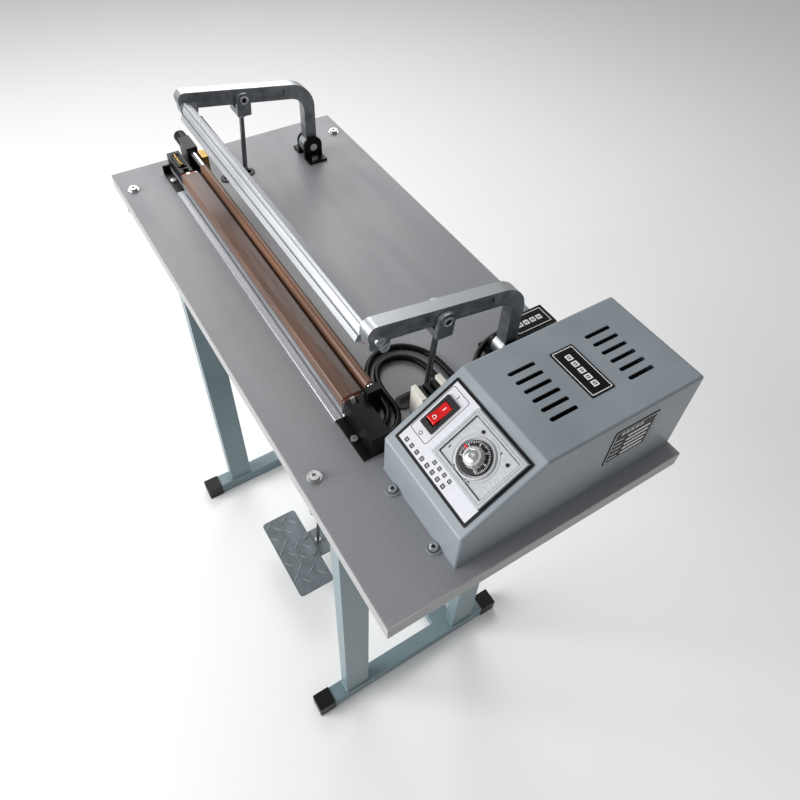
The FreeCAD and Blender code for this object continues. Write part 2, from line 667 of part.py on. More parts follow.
def box_profile(inset, bottom):
    """Side outline of the box, moved inwards by inset."""
    tan_half = math.tan(math.radians(slope_angle / 2))
    return [(box_front + inset, bottom), (box_rear - inset, bottom),
            (box_rear - inset, deck + box_height - inset, 4),
            (slope_top_y + inset * tan_half, deck + box_height - inset, 3),
            (box_front + inset, deck + box_lip - inset * math.tan(math.radians((90 - slope_angle) / 2)), 3)]


def make_box():
    floor = deck + base_sheet
    outer = profile_x(box_profile(0, floor), box_x[0], box_x[1])
    ends = []
    for edge in outer.Edges:
        same_x = all(abs(v.X - edge.Vertexes[0].X) < 1e-6 for v in edge.Vertexes)
        low = all(abs(v.Z - floor) < 1e-6 for v in edge.Vertexes)
        if same_x and not low:
            ends.append(edge)
    outer = outer.makeFillet(2.5, ends)
    inner = profile_x(box_profile(sheet, floor), box_x[0] + sheet, box_x[1] - sheet)
    inner_ends = [e for e in inner.Edges
                  if all(abs(v.X - e.Vertexes[0].X) < 1e-6 for v in e.Vertexes)
                  and not all(abs(v.Z - floor) < 1e-6 for v in e.Vertexes)]
    inner = inner.makeFillet(1.2, inner_ends)
    shell = outer.cut(inner)
    top = deck + box_height
    for y0 in (14.3, 100.0):
        for k in range(6):
            x = 250.5 + 10.8 * k
            shell = shell.cut(slot_z(x, y0, y0 + 29.3, 2.1, top - 4, top + 1))
    shell = shell.cut(on_panel(block(rocker_x - 6.3, rocker_x + 6.3, rocker_v - 13.5, rocker_v + 13.5, -4, 3)))
    shell = shell.cut(on_panel(block(dial_x - 24.5, dial_x + 24.5, timer_body_v[0] - 0.5, timer_body_v[1] + 0.5, -4, 3)))
    for y, z in gland_places:
        shell = shell.cut(rod((box_x[0] - 1, y, deck + z), (box_x[0] + 4, y, deck + z), 5.05))
    save("control_box_shell", shell)

    base = block(box_x[0], box_x[1], box_front, box_rear, deck, floor)
    for x in (246.0, 311.0):
        tab = Part.makeCylinder(6.5, base_sheet, Vector(x, box_front - 5, deck))
        tab = tab.fuse(block(x - 6.5, x + 6.5, box_front - 5, box_front, deck, floor))
        base = base.fuse(tab)
        base = base.cut(rod((x, box_front - 5, deck), (x, box_front - 5, floor), 2.05))
    save("control_box_base", base.removeSplitter())

    panel = block(box_x[0] + 6.4, box_x[1] - 6.4, 9, 82, 0.02, 0.7)
    panel = panel.cut(block(rocker_x - 6.3, rocker_x + 6.3, rocker_v - 13.5, rocker_v + 13.5, -1, 3))
    panel = panel.cut(block(dial_x - 24.5, dial_x + 24.5, timer_body_v[0] - 0.5, timer_body_v[1] + 0.5, -1, 3))
    save("control_panel_plate", on_panel(panel))

    bezel = block(rocker_x - 8, rocker_x + 8, rocker_v - 16.5, rocker_v + 16.5, 0.72, 2.8)
    bezel = bezel.fuse(block(rocker_x - 6.2, rocker_x + 6.2, rocker_v - 13.4, rocker_v + 13.4, -16, 0.72))
    bezel = bezel.cut(block(rocker_x - 5.2, rocker_x + 5.2, rocker_v - 11.4, rocker_v + 11.4, -9, 3))
    trunnion_z = -2.0
    bezel = bezel.cut(rod((rocker_x - 6.2, rocker_v, trunnion_z), (rocker_x + 6.2, rocker_v, trunnion_z), 1.05))
    save("rocker_bezel", on_panel(bezel.removeSplitter()))
    # rocker: shallow V-topped key, one end pressed in at rest
    tilt = 10.0
    key = profile_x([(rocker_v - 10.6, -1.5), (rocker_v - 10.2, -4.5), (rocker_v + 10.2, -4.5),
                     (rocker_v + 10.6, -1.5), (rocker_v + 10.4, 4.2, 1), (rocker_v, 3.0, 12),
                     (rocker_v - 10.4, 4.2, 1)], rocker_x - 4.9, rocker_x + 4.9)
    key = key.fuse(rod((rocker_x - 6.1, rocker_v, trunnion_z), (rocker_x + 6.1, rocker_v, trunnion_z), 1.0))
    key = turned(key.removeSplitter(), -tilt, (0, rocker_v, trunnion_z))
    save("power_rocker", on_panel(key))

    frame = block(timer_x[0], timer_x[1], timer_v[0], timer_v[1], 0.72, timer_top)
    frame = frame.cut(block(timer_x[0] + 4.2, timer_x[1] - 4.2, timer_v[0] + 5.4, timer_v[1] - 4.4, 2.6, timer_top))
    body = block(dial_x - 24, dial_x + 24, timer_body_v[0], timer_body_v[1], -46, 0.72)
    timer = frame.fuse(body).removeSplitter()
    timer = timer.cut(rod((dial_x, dial_v, -4), (dial_x, dial_v, 6), 3.1))
    save("timer_body", on_panel(timer))
    knob = rod((dial_x, dial_v, 3.3), (dial_x, dial_v, 5.2), 14.5)
    knob = knob.fuse(rod((dial_x, dial_v, 5.2), (dial_x, dial_v, 11.5), 9.0))
    knob = knob.fuse(rod((dial_x, dial_v, -3.5), (dial_x, dial_v, 3.3), 3.0))
    ribs = 16
    for k in range(ribs):
        angle = 2 * math.pi * k / ribs
        x = dial_x + 9.2 * math.cos(angle)
        v = dial_v + 9.2 * math.sin(angle)
        knob = knob.cut(rod((x, v, 6.0), (x, v, 12), 0.8))
    save("timer_knob", on_panel(knob.removeSplitter()))

    core_x = (241.0, 317.0)
    core_y = (66.0, 124.0)
    leg = (266.0, 291.0)
    window = 14.0
    z0, z1 = floor, floor + 66
    core = block(core_x[0], core_x[1], core_y[0], core_y[1], z0, z1)
    for x in (leg[0] - window, leg[1]):
        core = core.cut(block(x, x + window, core_y[0], core_y[1], z0 + 13, z1 - 13))
    save("transformer_core", core)
    coil = block(leg[0] - window + 0.5, leg[1] + window - 0.5, core_y[0] - 13, core_y[1] + 13,
                 z0 + 13.5, z1 - 13.5)
    coil = coil.cut(block(leg[0] - 0.5, leg[1] + 0.5, core_y[0] - 0.5, core_y[1] + 0.5, z0, z1))
    save("transformer_coil", coil)
    save("power_relay", block(244, 272, 8, 36, floor, floor + 30))


def make_small_parts():
    floor = deck + base_sheet
    # terminal block beside the box: dark body between two pale cheeks, fed by a conduit
    body = block(177.5, 196, -26, -4, deck, deck + 31)
    for y0 in (-20.5, -13.0):
        body = body.cut(block(177.5, 196, y0, y0 + 3.2, deck + 24, deck + 31))
    body = body.fuse(rod((196, -14, deck + 12), (box_x[0] - 0.02, -14, deck + 12), 4.5)).removeSplitter()
    save("terminal_block", body)
    cheeks = [block(177.5, 197, y0, y0 + 5.0, deck, deck + 36) for y0 in (-31.2, -3.8)]
    save("terminal_cheeks", *cheeks)

    glands = []
    for y, z in gland_places:
        ring = rod((box_x[0] - 7, y, deck + z), (box_x[0] + 4, y, deck + z), 5.0)
        flange = rod((box_x[0] - 3, y, deck + z), (box_x[0] - 0.02, y, deck + z), 6.5)
        gland = ring.fuse(flange).removeSplitter()
        gland = gland.cut(rod((box_x[0] - 8, y, deck + z), (box_x[0] + 5, y, deck + z), cord_r))
        glands.append(gland)
    save("cable_glands", *glands)

    screws = []
    for x in (246.0, 311.0):
        screws.append(screw((x, box_front - 5, floor), (0, 0, 1), 4.2, 2.6, 2.0, 1.4, 1.4))
    screws.append(screw((-293, -95.6, deck + 3), (0, 0, 1), 3.6, 2.4, 2.0, 2.9, 1.3))
    screws.append(screw((183, -95.6, deck + 3), (0, 0, 1), 3.6, 2.4, 2.0, 2.9, 1.3))
    for x0 in arm_x:
        for side in (-1, 1):
            x = x0 + arm_thickness / 2 + side * (arm_thickness / 2 + 0.6 + 3.5 + 7.5)
            screws.append(screw((x, pivot_y - 2, deck + 3.5), (0, 0, 1), 4.4, 3.0, 2.0, 3.4, 1.5))
    save("deck_fasteners", *screws, *table_bolts())

    plates = [block(250, 305, 59, 84.2, deck + box_height + 0.02, deck + box_height + 0.6)]
    plates.append(block(box_x[1] + 0.02, box_x[1] + 0.6, 62, 112, deck + 37, deck + 84))
    plates.append(block(143, 167, 109, 155.5, deck + 20.52, deck + 21.1))
    save("label_plates", *plates)

    bezels = []
    for x in arm_mid:
        flange = slot_z(x, slot_y[0] - 4, slot_y[1] + 4, 8.2, deck + 0.02, deck + 1.6)
        sleeve = slot_z(x, slot_y[0] - 0.9, slot_y[1] + 0.9, 5.4, deck - table_thickness, deck + 1.6)
        hole = slot_z(x, slot_y[0] + 0.5, slot_y[1] - 0.5, 4.2, deck - table_thickness, deck + 1.6)
        bezels.append(flange.fuse(sleeve).removeSplitter().cut(hole))
    save("rod_slot_bezels", *bezels)

    under = deck - table_thickness
    housing = block(141, 169.3, 105.2, 158.5, deck, deck + 20.5)
    save("switch_housing", housing)
    micro = block(20, 40, -24, 2, under - 32, under)
    micro = micro.cut(rod((30, -11, under - 32), (30, -11, under - 22), 2.3))
    save("trigger_switch", micro)
    save("trigger_plunger", rod((30, -11, under - 43.2), (30, -11, under - 25), 2.0))


# ---- cords --------------------------------------------------------------
def cord_path(points):
    """Straight runs joined by tangent arcs as large as the runs allow."""
    pts = [Vector(p[0], p[1], deck + p[2]) for p in points]
    edges = []
    radii = []
    length = 0.0
    cursor = pts[0]
    for i in range(1, len(pts) - 1):
        back = pts[i - 1] - pts[i]
        on = pts[i + 1] - pts[i]
        turn = math.pi - back.getAngle(on)
        reach = 0.45 * min(back.Length, on.Length)
        radius = reach / math.tan(turn / 2)
        radii.append(round(radius, 1))
        b = Vector(back).normalize()
        o = Vector(on).normalize()
        first = pts[i] + b * reach
        last = pts[i] + o * reach
        half = (math.pi - turn) / 2
        middle = pts[i] + (b + o).normalize() * (radius / math.sin(half) - radius)
        edges.append(Part.LineSegment(cursor, first).toShape())
        edges.append(Part.Arc(first, middle, last).toShape())
        length += (first - cursor).Length + radius * turn
        cursor = last
    edges.append(Part.LineSegment(cursor, pts[-1]).toShape())
    length += (pts[-1] - cursor).Length
    return Part.Wire(edges), radii, length


outer_lead = [(221.4, 26.5, 10), (209, 26.6, 9.6), (193, 27.6, 6.2), (173, 28.8, 3.8), (149, 28.5, 3.5),
              (125, 24.6, 3.4), (101.6, 4.6, 3.5), (98.9, -26.4, 3.4), (120.4, -47.6, 3.5), (143.5, -50.9, 3.9),
              (168.2, -50.2, 4.6), (179.5, -56.7, 5.1), (186, -68, 5.4), (186, -81, 5.4)]
inner_lead = [(221.4, 13, 10), (209, 13, 9.6), (194, 13.4, 6.3), (174, 14.1, 3.8), (151, 13.4, 3.5),
              (129.8, 9.8, 3.4), (114, -5.6, 3.4), (113.4, -27.4, 3.6), (129.6, -41.2, 4.4), (151.6, -43.7, 5.2),
              (175.1, -43.0, 5.4), (189, -51, 5.3), (197, -64.9, 5.4), (197, -81, 5.4)]
switch_lead = [(187, 1.2, 21), (187, 13, 20.6), (185.8, 26, 17.6), (180.6, 38.5, 11.2), (171, 50.8, 5.4),
               (159, 62.5, 4.6), (150.8, 76, 8.9), (147.3, 90.6, 11.7), (147.4, 105.2, 11.9)]
box_lead = [(169.3, 123, 12), (182, 123.4, 8), (196, 121, 4.8), (209, 116.6, 8.6), (221.4, 114, 14)]


def make_cords():
    routes = {"jaw_lead_outer": outer_lead, "jaw_lead_inner": inner_lead,
              "switch_lead": switch_lead, "box_lead": box_lead}
    for name, points in routes.items():
        wire, radii, length = cord_path(points)
        start = wire.Edges[0]
        direction = start.tangentAt(start.FirstParameter)
        circle = Part.Wire(Part.makeCircle(cord_r, start.valueAt(start.FirstParameter), direction))
        tube = wire.makePipeShell([circle], True, False)
        print(name, "radii", radii, "length", round(length, 1),
              "volume", round(tube.Volume), "section x length", round(math.pi * cord_r ** 2 * length))
        save(name, tube)


os.makedirs("parts", exist_ok=True)
make_table()
make_stand()
make_cross_member()
make_arms()
make_bar()
make_pivots()
make_pull_frame()
make_pedal()
make_jaw()
make_box()
make_small_parts()
make_cords()
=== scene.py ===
import bmesh
import bpy
import json
import math
from mathutils import Matrix, Vector, noise


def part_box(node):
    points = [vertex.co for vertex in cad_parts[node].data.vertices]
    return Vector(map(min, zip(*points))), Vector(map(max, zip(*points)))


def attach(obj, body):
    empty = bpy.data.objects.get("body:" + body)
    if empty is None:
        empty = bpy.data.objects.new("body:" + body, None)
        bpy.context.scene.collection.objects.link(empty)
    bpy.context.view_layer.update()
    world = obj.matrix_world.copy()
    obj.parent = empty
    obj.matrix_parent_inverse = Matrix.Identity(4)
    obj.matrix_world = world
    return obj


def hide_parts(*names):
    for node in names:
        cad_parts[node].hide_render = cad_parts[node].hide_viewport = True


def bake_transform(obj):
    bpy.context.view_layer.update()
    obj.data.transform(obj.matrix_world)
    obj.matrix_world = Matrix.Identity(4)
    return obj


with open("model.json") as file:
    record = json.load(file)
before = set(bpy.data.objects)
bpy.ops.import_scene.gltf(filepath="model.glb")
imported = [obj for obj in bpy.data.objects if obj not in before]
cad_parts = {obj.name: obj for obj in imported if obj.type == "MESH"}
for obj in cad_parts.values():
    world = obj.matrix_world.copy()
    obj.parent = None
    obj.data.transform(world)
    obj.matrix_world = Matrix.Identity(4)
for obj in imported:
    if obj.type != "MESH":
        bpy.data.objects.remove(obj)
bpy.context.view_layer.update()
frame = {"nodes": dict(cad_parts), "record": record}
nodes = frame["nodes"]
mm = 0.001
deck = 0.715                     # table surface above the floor
quarter_turn = math.radians(90)


# ---- camera ---------------------------------------------------------------
def make_camera():
    place = Vector((0.50979, -0.27352, 0.53355 + deck))
    azimuth, drop, roll = math.radians(56.06), math.radians(49.35), math.radians(2.795)
    look = Vector((-math.sin(azimuth) * math.cos(drop), math.cos(azimuth) * math.cos(drop), -math.sin(drop)))
    side = look.cross(Vector((0, 0, 1))).normalized()
    top = side.cross(look)
    right = side * math.cos(roll) + top * math.sin(roll)
    up = top * math.cos(roll) - side * math.sin(roll)
    data = bpy.data.cameras.new("viewpoint")
    data.lens = 31.07
    data.shift_x = 0.0061
    data.shift_y = -0.0346
    data.clip_start = 0.02
    camera = bpy.data.objects.new("viewpoint", data)
    camera.matrix_world = Matrix.Translation(place) @ Matrix((right, up, -look)).transposed().to_4x4()
    bpy.context.collection.objects.link(camera)
    bpy.context.scene.camera = camera


make_camera()


# ---- material tools ---------------------------------------------------------
spread = (0.3, 0.7)              # most of a noise pattern's values lie between these


def linear(code):
    """sRGB hex to linear colour."""
    channels = [int(code[i:i + 2], 16) / 255 for i in (0, 2, 4)]
    return tuple([c / 12.92 if c <= 0.04045 else ((c + 0.055) / 1.055) ** 2.4 for c in channels] + [1.0])


def add(mat, kind, inputs=None, **settings):
    """Add one node; an input is a value or another node's output."""
    made = mat.node_tree.nodes.new("ShaderNode" + kind)
    for name, value in settings.items():
        setattr(made, name, value)
    for name, value in (inputs or {}).items():
        if isinstance(value, bpy.types.NodeSocket):
            mat.node_tree.links.new(value, made.inputs[name])
        else:
            made.inputs[name].default_value = value
    return made


def blank(name, **settings):
    mat = bpy.data.materials.new(name)
    mat.use_nodes = True
    mat.node_tree.nodes.clear()
    shader = add(mat, "BsdfPrincipled", settings)
    add(mat, "OutputMaterial", {"Surface": shader.outputs["BSDF"]})
    return mat, shader


def grain(mat, size, stretch=(1, 1, 1), detail=2.0, rough=0.5):
    """Noise whose features are about size metres, drawn out along the stretched axes."""
    where = add(mat, "TexCoord").outputs["Object"]
    scale = [1 / (size * s) for s in stretch]
    placed = add(mat, "Mapping", {"Vector": where, "Scale": scale})
    return add(mat, "TexNoise", {"Vector": placed.outputs["Vector"], "Scale": 1.0, "Detail": detail,
                                 "Roughness": rough}).outputs["Fac"]


def lay_over(mat, under, value, low, high, code, most=1.0):
    """Cover a colour with another as value goes from low to high; most is how much it hides."""
    mask = add(mat, "MapRange", {"Value": value, "From Min": low, "From Max": high,
                                 "To Min": 0.0, "To Max": most})
    return add(mat, "MixRGB", {"Fac": mask.outputs["Result"], "Color1": under,
                               "Color2": linear(code)}).outputs["Color"]


def join(mat, shader, colour, gloss, height, depth, strength):
    """Link a material's patterns to its shader. gloss is (value, low, high, roughness at low, roughness
    at high); depth is how deep the skin's relief is, in metres."""
    value, low, high, rough_low, rough_high = gloss
    rough = add(mat, "MapRange", {"Value": value, "From Min": low, "From Max": high,
                                  "To Min": rough_low, "To Max": rough_high})
    bump = add(mat, "Bump", {"Height": height, "Distance": depth, "Strength": strength})
    for output, name in ((colour, "Base Color"), (rough.outputs["Result"], "Roughness"),
                         (bump.outputs["Normal"], "Normal")):
        mat.node_tree.links.new(output, shader.inputs[name])


# ---- materials ------------------------------------------------------------
def powder_coat(name, base, shade, rough=0.4, shine=0.12):
    # Polyester powder coat on steel: an orange-peel skin about 1.5 mm across, a soft gloss,
    # and a cloudy drift of tone over 60 mm that shop dust leaves.
    mat, shader = blank(name, **{"IOR": 1.5, "Coat Weight": shine, "Coat Roughness": 0.25,
                                "Specular IOR Level": 0.5 if shine else 0.22})
    peel = grain(mat, 1.5 * mm)
    cloud = grain(mat, 60 * mm, detail=4.0)
    fine = grain(mat, 0.5 * mm, detail=1.0)
    tone = lay_over(mat, linear(base), cloud, *spread, shade)
    dusty = lay_over(mat, tone, fine, 0.3, 0.75, "C8CFD0" if shine else shade, 0.06)
    join(mat, shader, dusty, (cloud, *spread, rough - 0.06, rough + 0.08), peel, 0.06 * mm, 0.35)
    return mat


def table_laminate():
    # Melamine laminate pressed on chipboard: mid grey, a pearl-like print fleck under 1 mm
    # and a satin face with a faint wipe pattern.
    mat, shader = blank("grey_melamine_laminate", **{"IOR": 1.5})
    fleck = grain(mat, 0.9 * mm, detail=3.0)
    wipe = grain(mat, 30 * mm, (5, 1, 1), 3.0)
    tone = lay_over(mat, linear("818285"), fleck, 0.35, 0.65, "8C8D91")
    join(mat, shader, tone, (wipe, *spread, 0.34, 0.46), fleck, 0.04 * mm, 0.25)
    return mat


def edge_band():
    # Extruded PVC edging glued round the board: pale grey with slight draw lines along it.
    mat, shader = blank("pale_pvc_edging", **{"IOR": 1.53})
    draw = grain(mat, 1.2 * mm, (20, 20, 0.4), 2.0)
    tone = lay_over(mat, linear("8A8A8C"), draw, *spread, "A0A0A1")
    join(mat, shader, tone, (draw, *spread, 0.38, 0.5), draw, 0.05 * mm, 0.3)
    return mat


def cast_aluminium():
    # Sand-cast aluminium, tumbled: a 0.7 mm grit skin, dull grey with 12 mm blotches, and a painted
    # highlight that makes the faces pointing up paler than the sides.
    mat, shader = blank("tumbled_cast_aluminium", **{"Metallic": 0.95})
    sand = grain(mat, 0.7 * mm, detail=4.0)
    blotch = grain(mat, 12 * mm, detail=3.0)
    facing = add(mat, "TexCoord").outputs["Normal"]
    painted_top_light = add(mat, "SeparateXYZ", {"Vector": facing}).outputs["Z"]
    cloudy = lay_over(mat, linear("767A7E"), blotch, *spread, "979A9D")
    # painted highlight: the more a face points up, the paler it is drawn
    tone = lay_over(mat, cloudy, painted_top_light, 0.3, 0.9, "C6C9CB")
    join(mat, shader, tone, (sand, *spread, 0.36, 0.52), sand, 0.12 * mm, 0.5)
    return mat


def anodised_bar():
    # Clear-anodised aluminium extrusion: silver white, with die lines along X. The real lines
    # are 0.2 mm apart, drawn here 1.8 mm apart so that they show, with a satin gloss.
    mat, shader = blank("clear_anodised_aluminium", **{"Metallic": 0.9})
    lines = grain(mat, 1.8 * mm, (300, 1, 1), 2.0)
    smudge = grain(mat, 25 * mm, (3, 1, 1), 3.0)
    tone = lay_over(mat, linear("A5A7AB"), lines, *spread, "C2C4C8")
    join(mat, shader, tone, (smudge, *spread, 0.38, 0.5), lines, 0.02 * mm, 0.2)
    return mat


def bright_metal(name, base, shade, rough, size=0.4 * mm):
    # Turned and plated steel: fine tool marks, with tone and gloss drifting a little.
    mat, shader = blank(name, **{"Metallic": 1.0})
    marks = grain(mat, size, (1, 6, 6), 2.0)
    cloud = grain(mat, 8 * mm, detail=3.0)
    tone = lay_over(mat, linear(base), cloud, *spread, shade)
    join(mat, shader, tone, (marks, *spread, rough, rough + 0.12), marks, 0.02 * mm, 0.25)
    return mat


def moulded_plastic(name, base, shade, rough, grit=0.8 * mm, spec=0.5):
    # Injection-moulded plastic: a spark-eroded grain that breaks the gloss.
    mat, shader = blank(name, **{"IOR": 1.5, "Specular IOR Level": spec})
    skin = grain(mat, grit, detail=2.0)
    cloud = grain(mat, 20 * mm, detail=3.0)
    tone = lay_over(mat, linear(base), cloud, *spread, shade)
    join(mat, shader, tone, (skin, *spread, rough - 0.05, rough + 0.07), skin, 0.05 * mm, 0.3)
    return mat


def release_cloth():
    # PTFE-coated glass cloth: coffee brown, plain weave, with painted shade darker towards the jaw's rear
    # edge and in the dip.
    # The real threads are 0.4 mm apart, too fine to show, so they are drawn 0.9 mm apart. The
    # coating gives a waxy copper glow.
    mat, shader = blank("ptfe_coated_glass_cloth", **{"IOR": 1.38, "Sheen Weight": 0.25,
                                                      "Sheen Roughness": 0.4, "Coat Weight": 0.25,
                                                      "Coat Roughness": 0.2})
    where = add(mat, "TexCoord").outputs["Object"]
    pitch = 0.9 * mm
    rear_shade_from, rear_shade_full = -89 * mm, -71 * mm
    waves = []
    for axis in ("X", "Y"):
        waves.append(add(mat, "TexWave", {"Vector": where, "Scale": 0.314 / pitch, "Distortion": 0.4,
                                          "Detail": 1.0}, bands_direction=axis).outputs["Fac"])
    weave = add(mat, "Math", {0: waves[0], 1: waves[1]}, operation="MULTIPLY").outputs["Value"]
    scorch = grain(mat, 35 * mm, (3, 0.5, 0.5), 4.0)
    across = add(mat, "SeparateXYZ", {"Vector": where}).outputs["Y"]
    brown = lay_over(mat, linear("4A301F"), scorch, *spread, "724B34")
    # painted shade: darker from the front of the jaw top towards its rear edge, fading out in the dip before
    # the roller
    towards_rear = add(mat, "MapRange", {"Value": across, "From Min": rear_shade_from, "From Max": rear_shade_full,
                                         "To Min": 0.0, "To Max": 0.75}).outputs["Result"]
    before_dip = add(mat, "MapRange", {"Value": across, "From Min": -69.0 * mm, "From Max": -66.5 * mm,
                                       "To Min": 1.0, "To Max": 0.0}).outputs["Result"]
    painted_rear_shade = add(mat, "Math", {0: towards_rear, 1: before_dip}, operation="MULTIPLY").outputs["Value"]
    tone = add(mat, "MixRGB", {"Fac": painted_rear_shade, "Color1": brown, "Color2": linear("1F1512")}).outputs["Color"]
    lit = lay_over(mat, tone, weave, 0.0, 1.0, "836148", 0.3)
    join(mat, shader, lit, (scorch, *spread, 0.3, 0.46), weave, 0.08 * mm, 0.4)
    return mat


def cable_jacket():
    # Extruded PVC cable jacket: near black, glossy, with long faint ripples.
    mat, shader = blank("black_pvc_cable_jacket", **{"IOR": 1.53, "Coat Weight": 0.12, "Coat Roughness": 0.05,
                                                     "Specular IOR Level": 0.1})
    ripple = grain(mat, 9 * mm, detail=1.0)
    tone = lay_over(mat, linear("050506"), ripple, *spread, "0B0B0D")
    join(mat, shader, tone, (ripple, *spread, 0.24, 0.34), ripple, 0.05 * mm, 0.15)
    return mat


def tread_plate():
    # Rolled tread plate under dark grey powder coat; the 1 mm high bars are rubbed paler and
    # smoother by shoes, so the tone follows the height above the face.
    mat, shader = blank("painted_tread_plate", **{"IOR": 1.5})
    scuff = grain(mat, 30 * mm, (1, 0.5, 1), 5.0)
    peel = grain(mat, 1.2 * mm)
    place = add(mat, "TexCoord").outputs["Object"]
    height = add(mat, "SeparateXYZ", {"Vector": place}).outputs["Z"]
    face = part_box("pedal_plate")[1][2] - 1.0 * mm
    low, high = face + 0.25 * mm, face + 0.95 * mm
    tone = lay_over(mat, linear("586166"), scuff, 0.35, 0.7, "6B757A")
    rubbed = lay_over(mat, tone, height, low, high, "87918F")
    join(mat, shader, rubbed, (height, low, high, 0.48, 0.3), peel, 0.08 * mm, 0.35)
    return mat


def printed_film(name, base, shade, rough=0.35, spec=0.5):
    # Screen-printed polyester film: flat colour with the film's faint silk grain.
    mat, shader = blank(name, **{"IOR": 1.57, "Specular IOR Level": spec})
    silk = grain(mat, 0.5 * mm, (8, 1, 1), 2.0)
    tone = lay_over(mat, linear(base), silk, *spread, shade)
    join(mat, shader, tone, (silk, *spread, rough - 0.04, rough + 0.08), silk, 0.02 * mm, 0.2)
    return mat


def clear_acrylic():
    # Moulded clear acrylic knob, slightly smoky, over a bright insert.
    mat, shader = blank("smoky_clear_acrylic", **{"IOR": 1.49, "Transmission Weight": 0.45})
    swirl = grain(mat, 3 * mm, detail=3.0)
    tone = lay_over(mat, linear("C9CBCC"), swirl, *spread, "F0F1F2")
    join(mat, shader, tone, (swirl, *spread, 0.06, 0.16), swirl, 0.05 * mm, 0.2)
    return mat


finish = {
    "grey_laminate": table_laminate(),
    "pale_edge_band": edge_band(),
    "blue_grey_paint": powder_coat("blue_grey_powder_coat", "61757A", "6D8288"),
    "box_paint": powder_coat("slate_powder_coat", "7C858B", "868F96", 0.42),
    "black_paint": powder_coat("black_powder_coat", "040405", "070708", 0.38, 0.0),
    "black_plastic": moulded_plastic("black_nylon", "060607", "0D0D0E", 0.42, spec=0.3),
    "tread_plate_paint": tread_plate(),
    "zinc_steel": bright_metal("zinc_plated_steel", "AFB2B4", "CDCECD", 0.26),
    "chrome_steel": bright_metal("chromed_steel", "C9CCCF", "E6E7E8", 0.1),
    "black_steel": bright_metal("oiled_drawn_steel", "6E7276", "8C9094", 0.28),
    "spring_steel": bright_metal("drawn_spring_steel", "8E9194", "B0B2B4", 0.24),
    "grey_casting": cast_aluminium(),
    "anodised_aluminium": anodised_bar(),
    "nichrome": bright_metal("nichrome_ribbon", "8A8580", "A79F96", 0.3),
    "silicone": moulded_plastic("red_brown_silicone", "8B4A3C", "A05A48", 0.55, 1.2 * mm),
    "brown_cloth": release_cloth(),
    "brass": bright_metal("dull_turned_brass", "8A7140", "A58C55", 0.3),
    "printed_panel": printed_film("silver_white_polyester_film", "BFC0C7", "CFD0D6"),
    "red_plastic": moulded_plastic("red_polycarbonate", "B4060B", "D01016", 0.22, 2 * mm),
    "timer_plastic": printed_film("silver_grey_abs", "9AA1A5", "AEB4B7", 0.3),
    "clear_knob": clear_acrylic(),
    "core_steel": bright_metal("laminated_core_steel", "3B3B3C", "505050", 0.5),
    "copper_winding": bright_metal("enamelled_copper_wire", "8E4A26", "B0683A", 0.3),
    "porcelain": moulded_plastic("glazed_porcelain", "D8D4C9", "E6E3DA", 0.25, 3 * mm),
    "cable_rubber": cable_jacket(),
}
black_ink = printed_film("black_screen_ink", "050506", "0A0A0B", 0.4, 0.14)
white_ink = printed_film("white_screen_ink", "E6E6E6", "F2F2F2", 0.42)
grey_ink = printed_film("grey_screen_ink", "5A5D60", "66696C", 0.4)
silver_film = printed_film("silver_lacquered_abs", "A6A8AC", "BCBEC2", 0.24)
red_ink = printed_film("red_pointer_lacquer", "C40D12", "D9191E", 0.3)

pedal_paint = powder_coat("dark_grey_powder_coat", "566065", "626C70")

slot_of = {s["node"]: s["material_slot"] for s in frame["record"]["subparts"]}
for name, obj in nodes.items():
    obj.data.materials.clear()
    under_tread = name in ("pedal_lever", "pedal_bolts")
    obj.data.materials.append(pedal_paint if under_tread else finish[slot_of[name]])


# ---- mesh tools -------------------------------------------------------------
def to_mesh(name, bm, matrix=None, smooth=True):
    if matrix is not None:
        bmesh.ops.transform(bm, matrix=matrix, verts=bm.verts)
    bmesh.ops.recalc_face_normals(bm, faces=bm.faces)
    mesh = bpy.data.meshes.new(name)
    bm.to_mesh(mesh)
    bm.free()
    for face in mesh.polygons:
        face.use_smooth = smooth
    if smooth:
        mesh.set_sharp_from_angle(angle=math.radians(35))
    return mesh


def piece(name, bm, slot, body="stand", material=None, place=None, smooth=True):
    """Object that rides on a body, in the finish of its slot unless another material is given."""
    mesh = to_mesh(name, bm, place, smooth)
    mesh.materials.append(material or finish[slot])
    obj = bpy.data.objects.new(name, mesh)
    bpy.context.collection.objects.link(obj)
    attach(obj, body)
    return obj


def merge(bm, part, place):
    """Put one bmesh in its place, add it to another and free it."""
    bmesh.ops.transform(part, matrix=place, verts=part.verts)
    mesh = bpy.data.meshes.new("part")
    part.to_mesh(mesh)
    part.free()
    bm.from_mesh(mesh)
    bpy.data.meshes.remove(mesh)


def rounded_rectangle(x0, x1, y0, y1, radius, steps=6):
    points = []
    corners = ((x1 - radius, y1 - radius, 0), (x0 + radius, y1 - radius, 90),
               (x0 + radius, y0 + radius, 180), (x1 - radius, y0 + radius, 270))
    for cx, cy, start in corners:
        for k in range(steps + 1):
            a = math.radians(start + 90 * k / steps)
            points.append((cx + radius * math.cos(a), cy + radius * math.sin(a)))
    return points


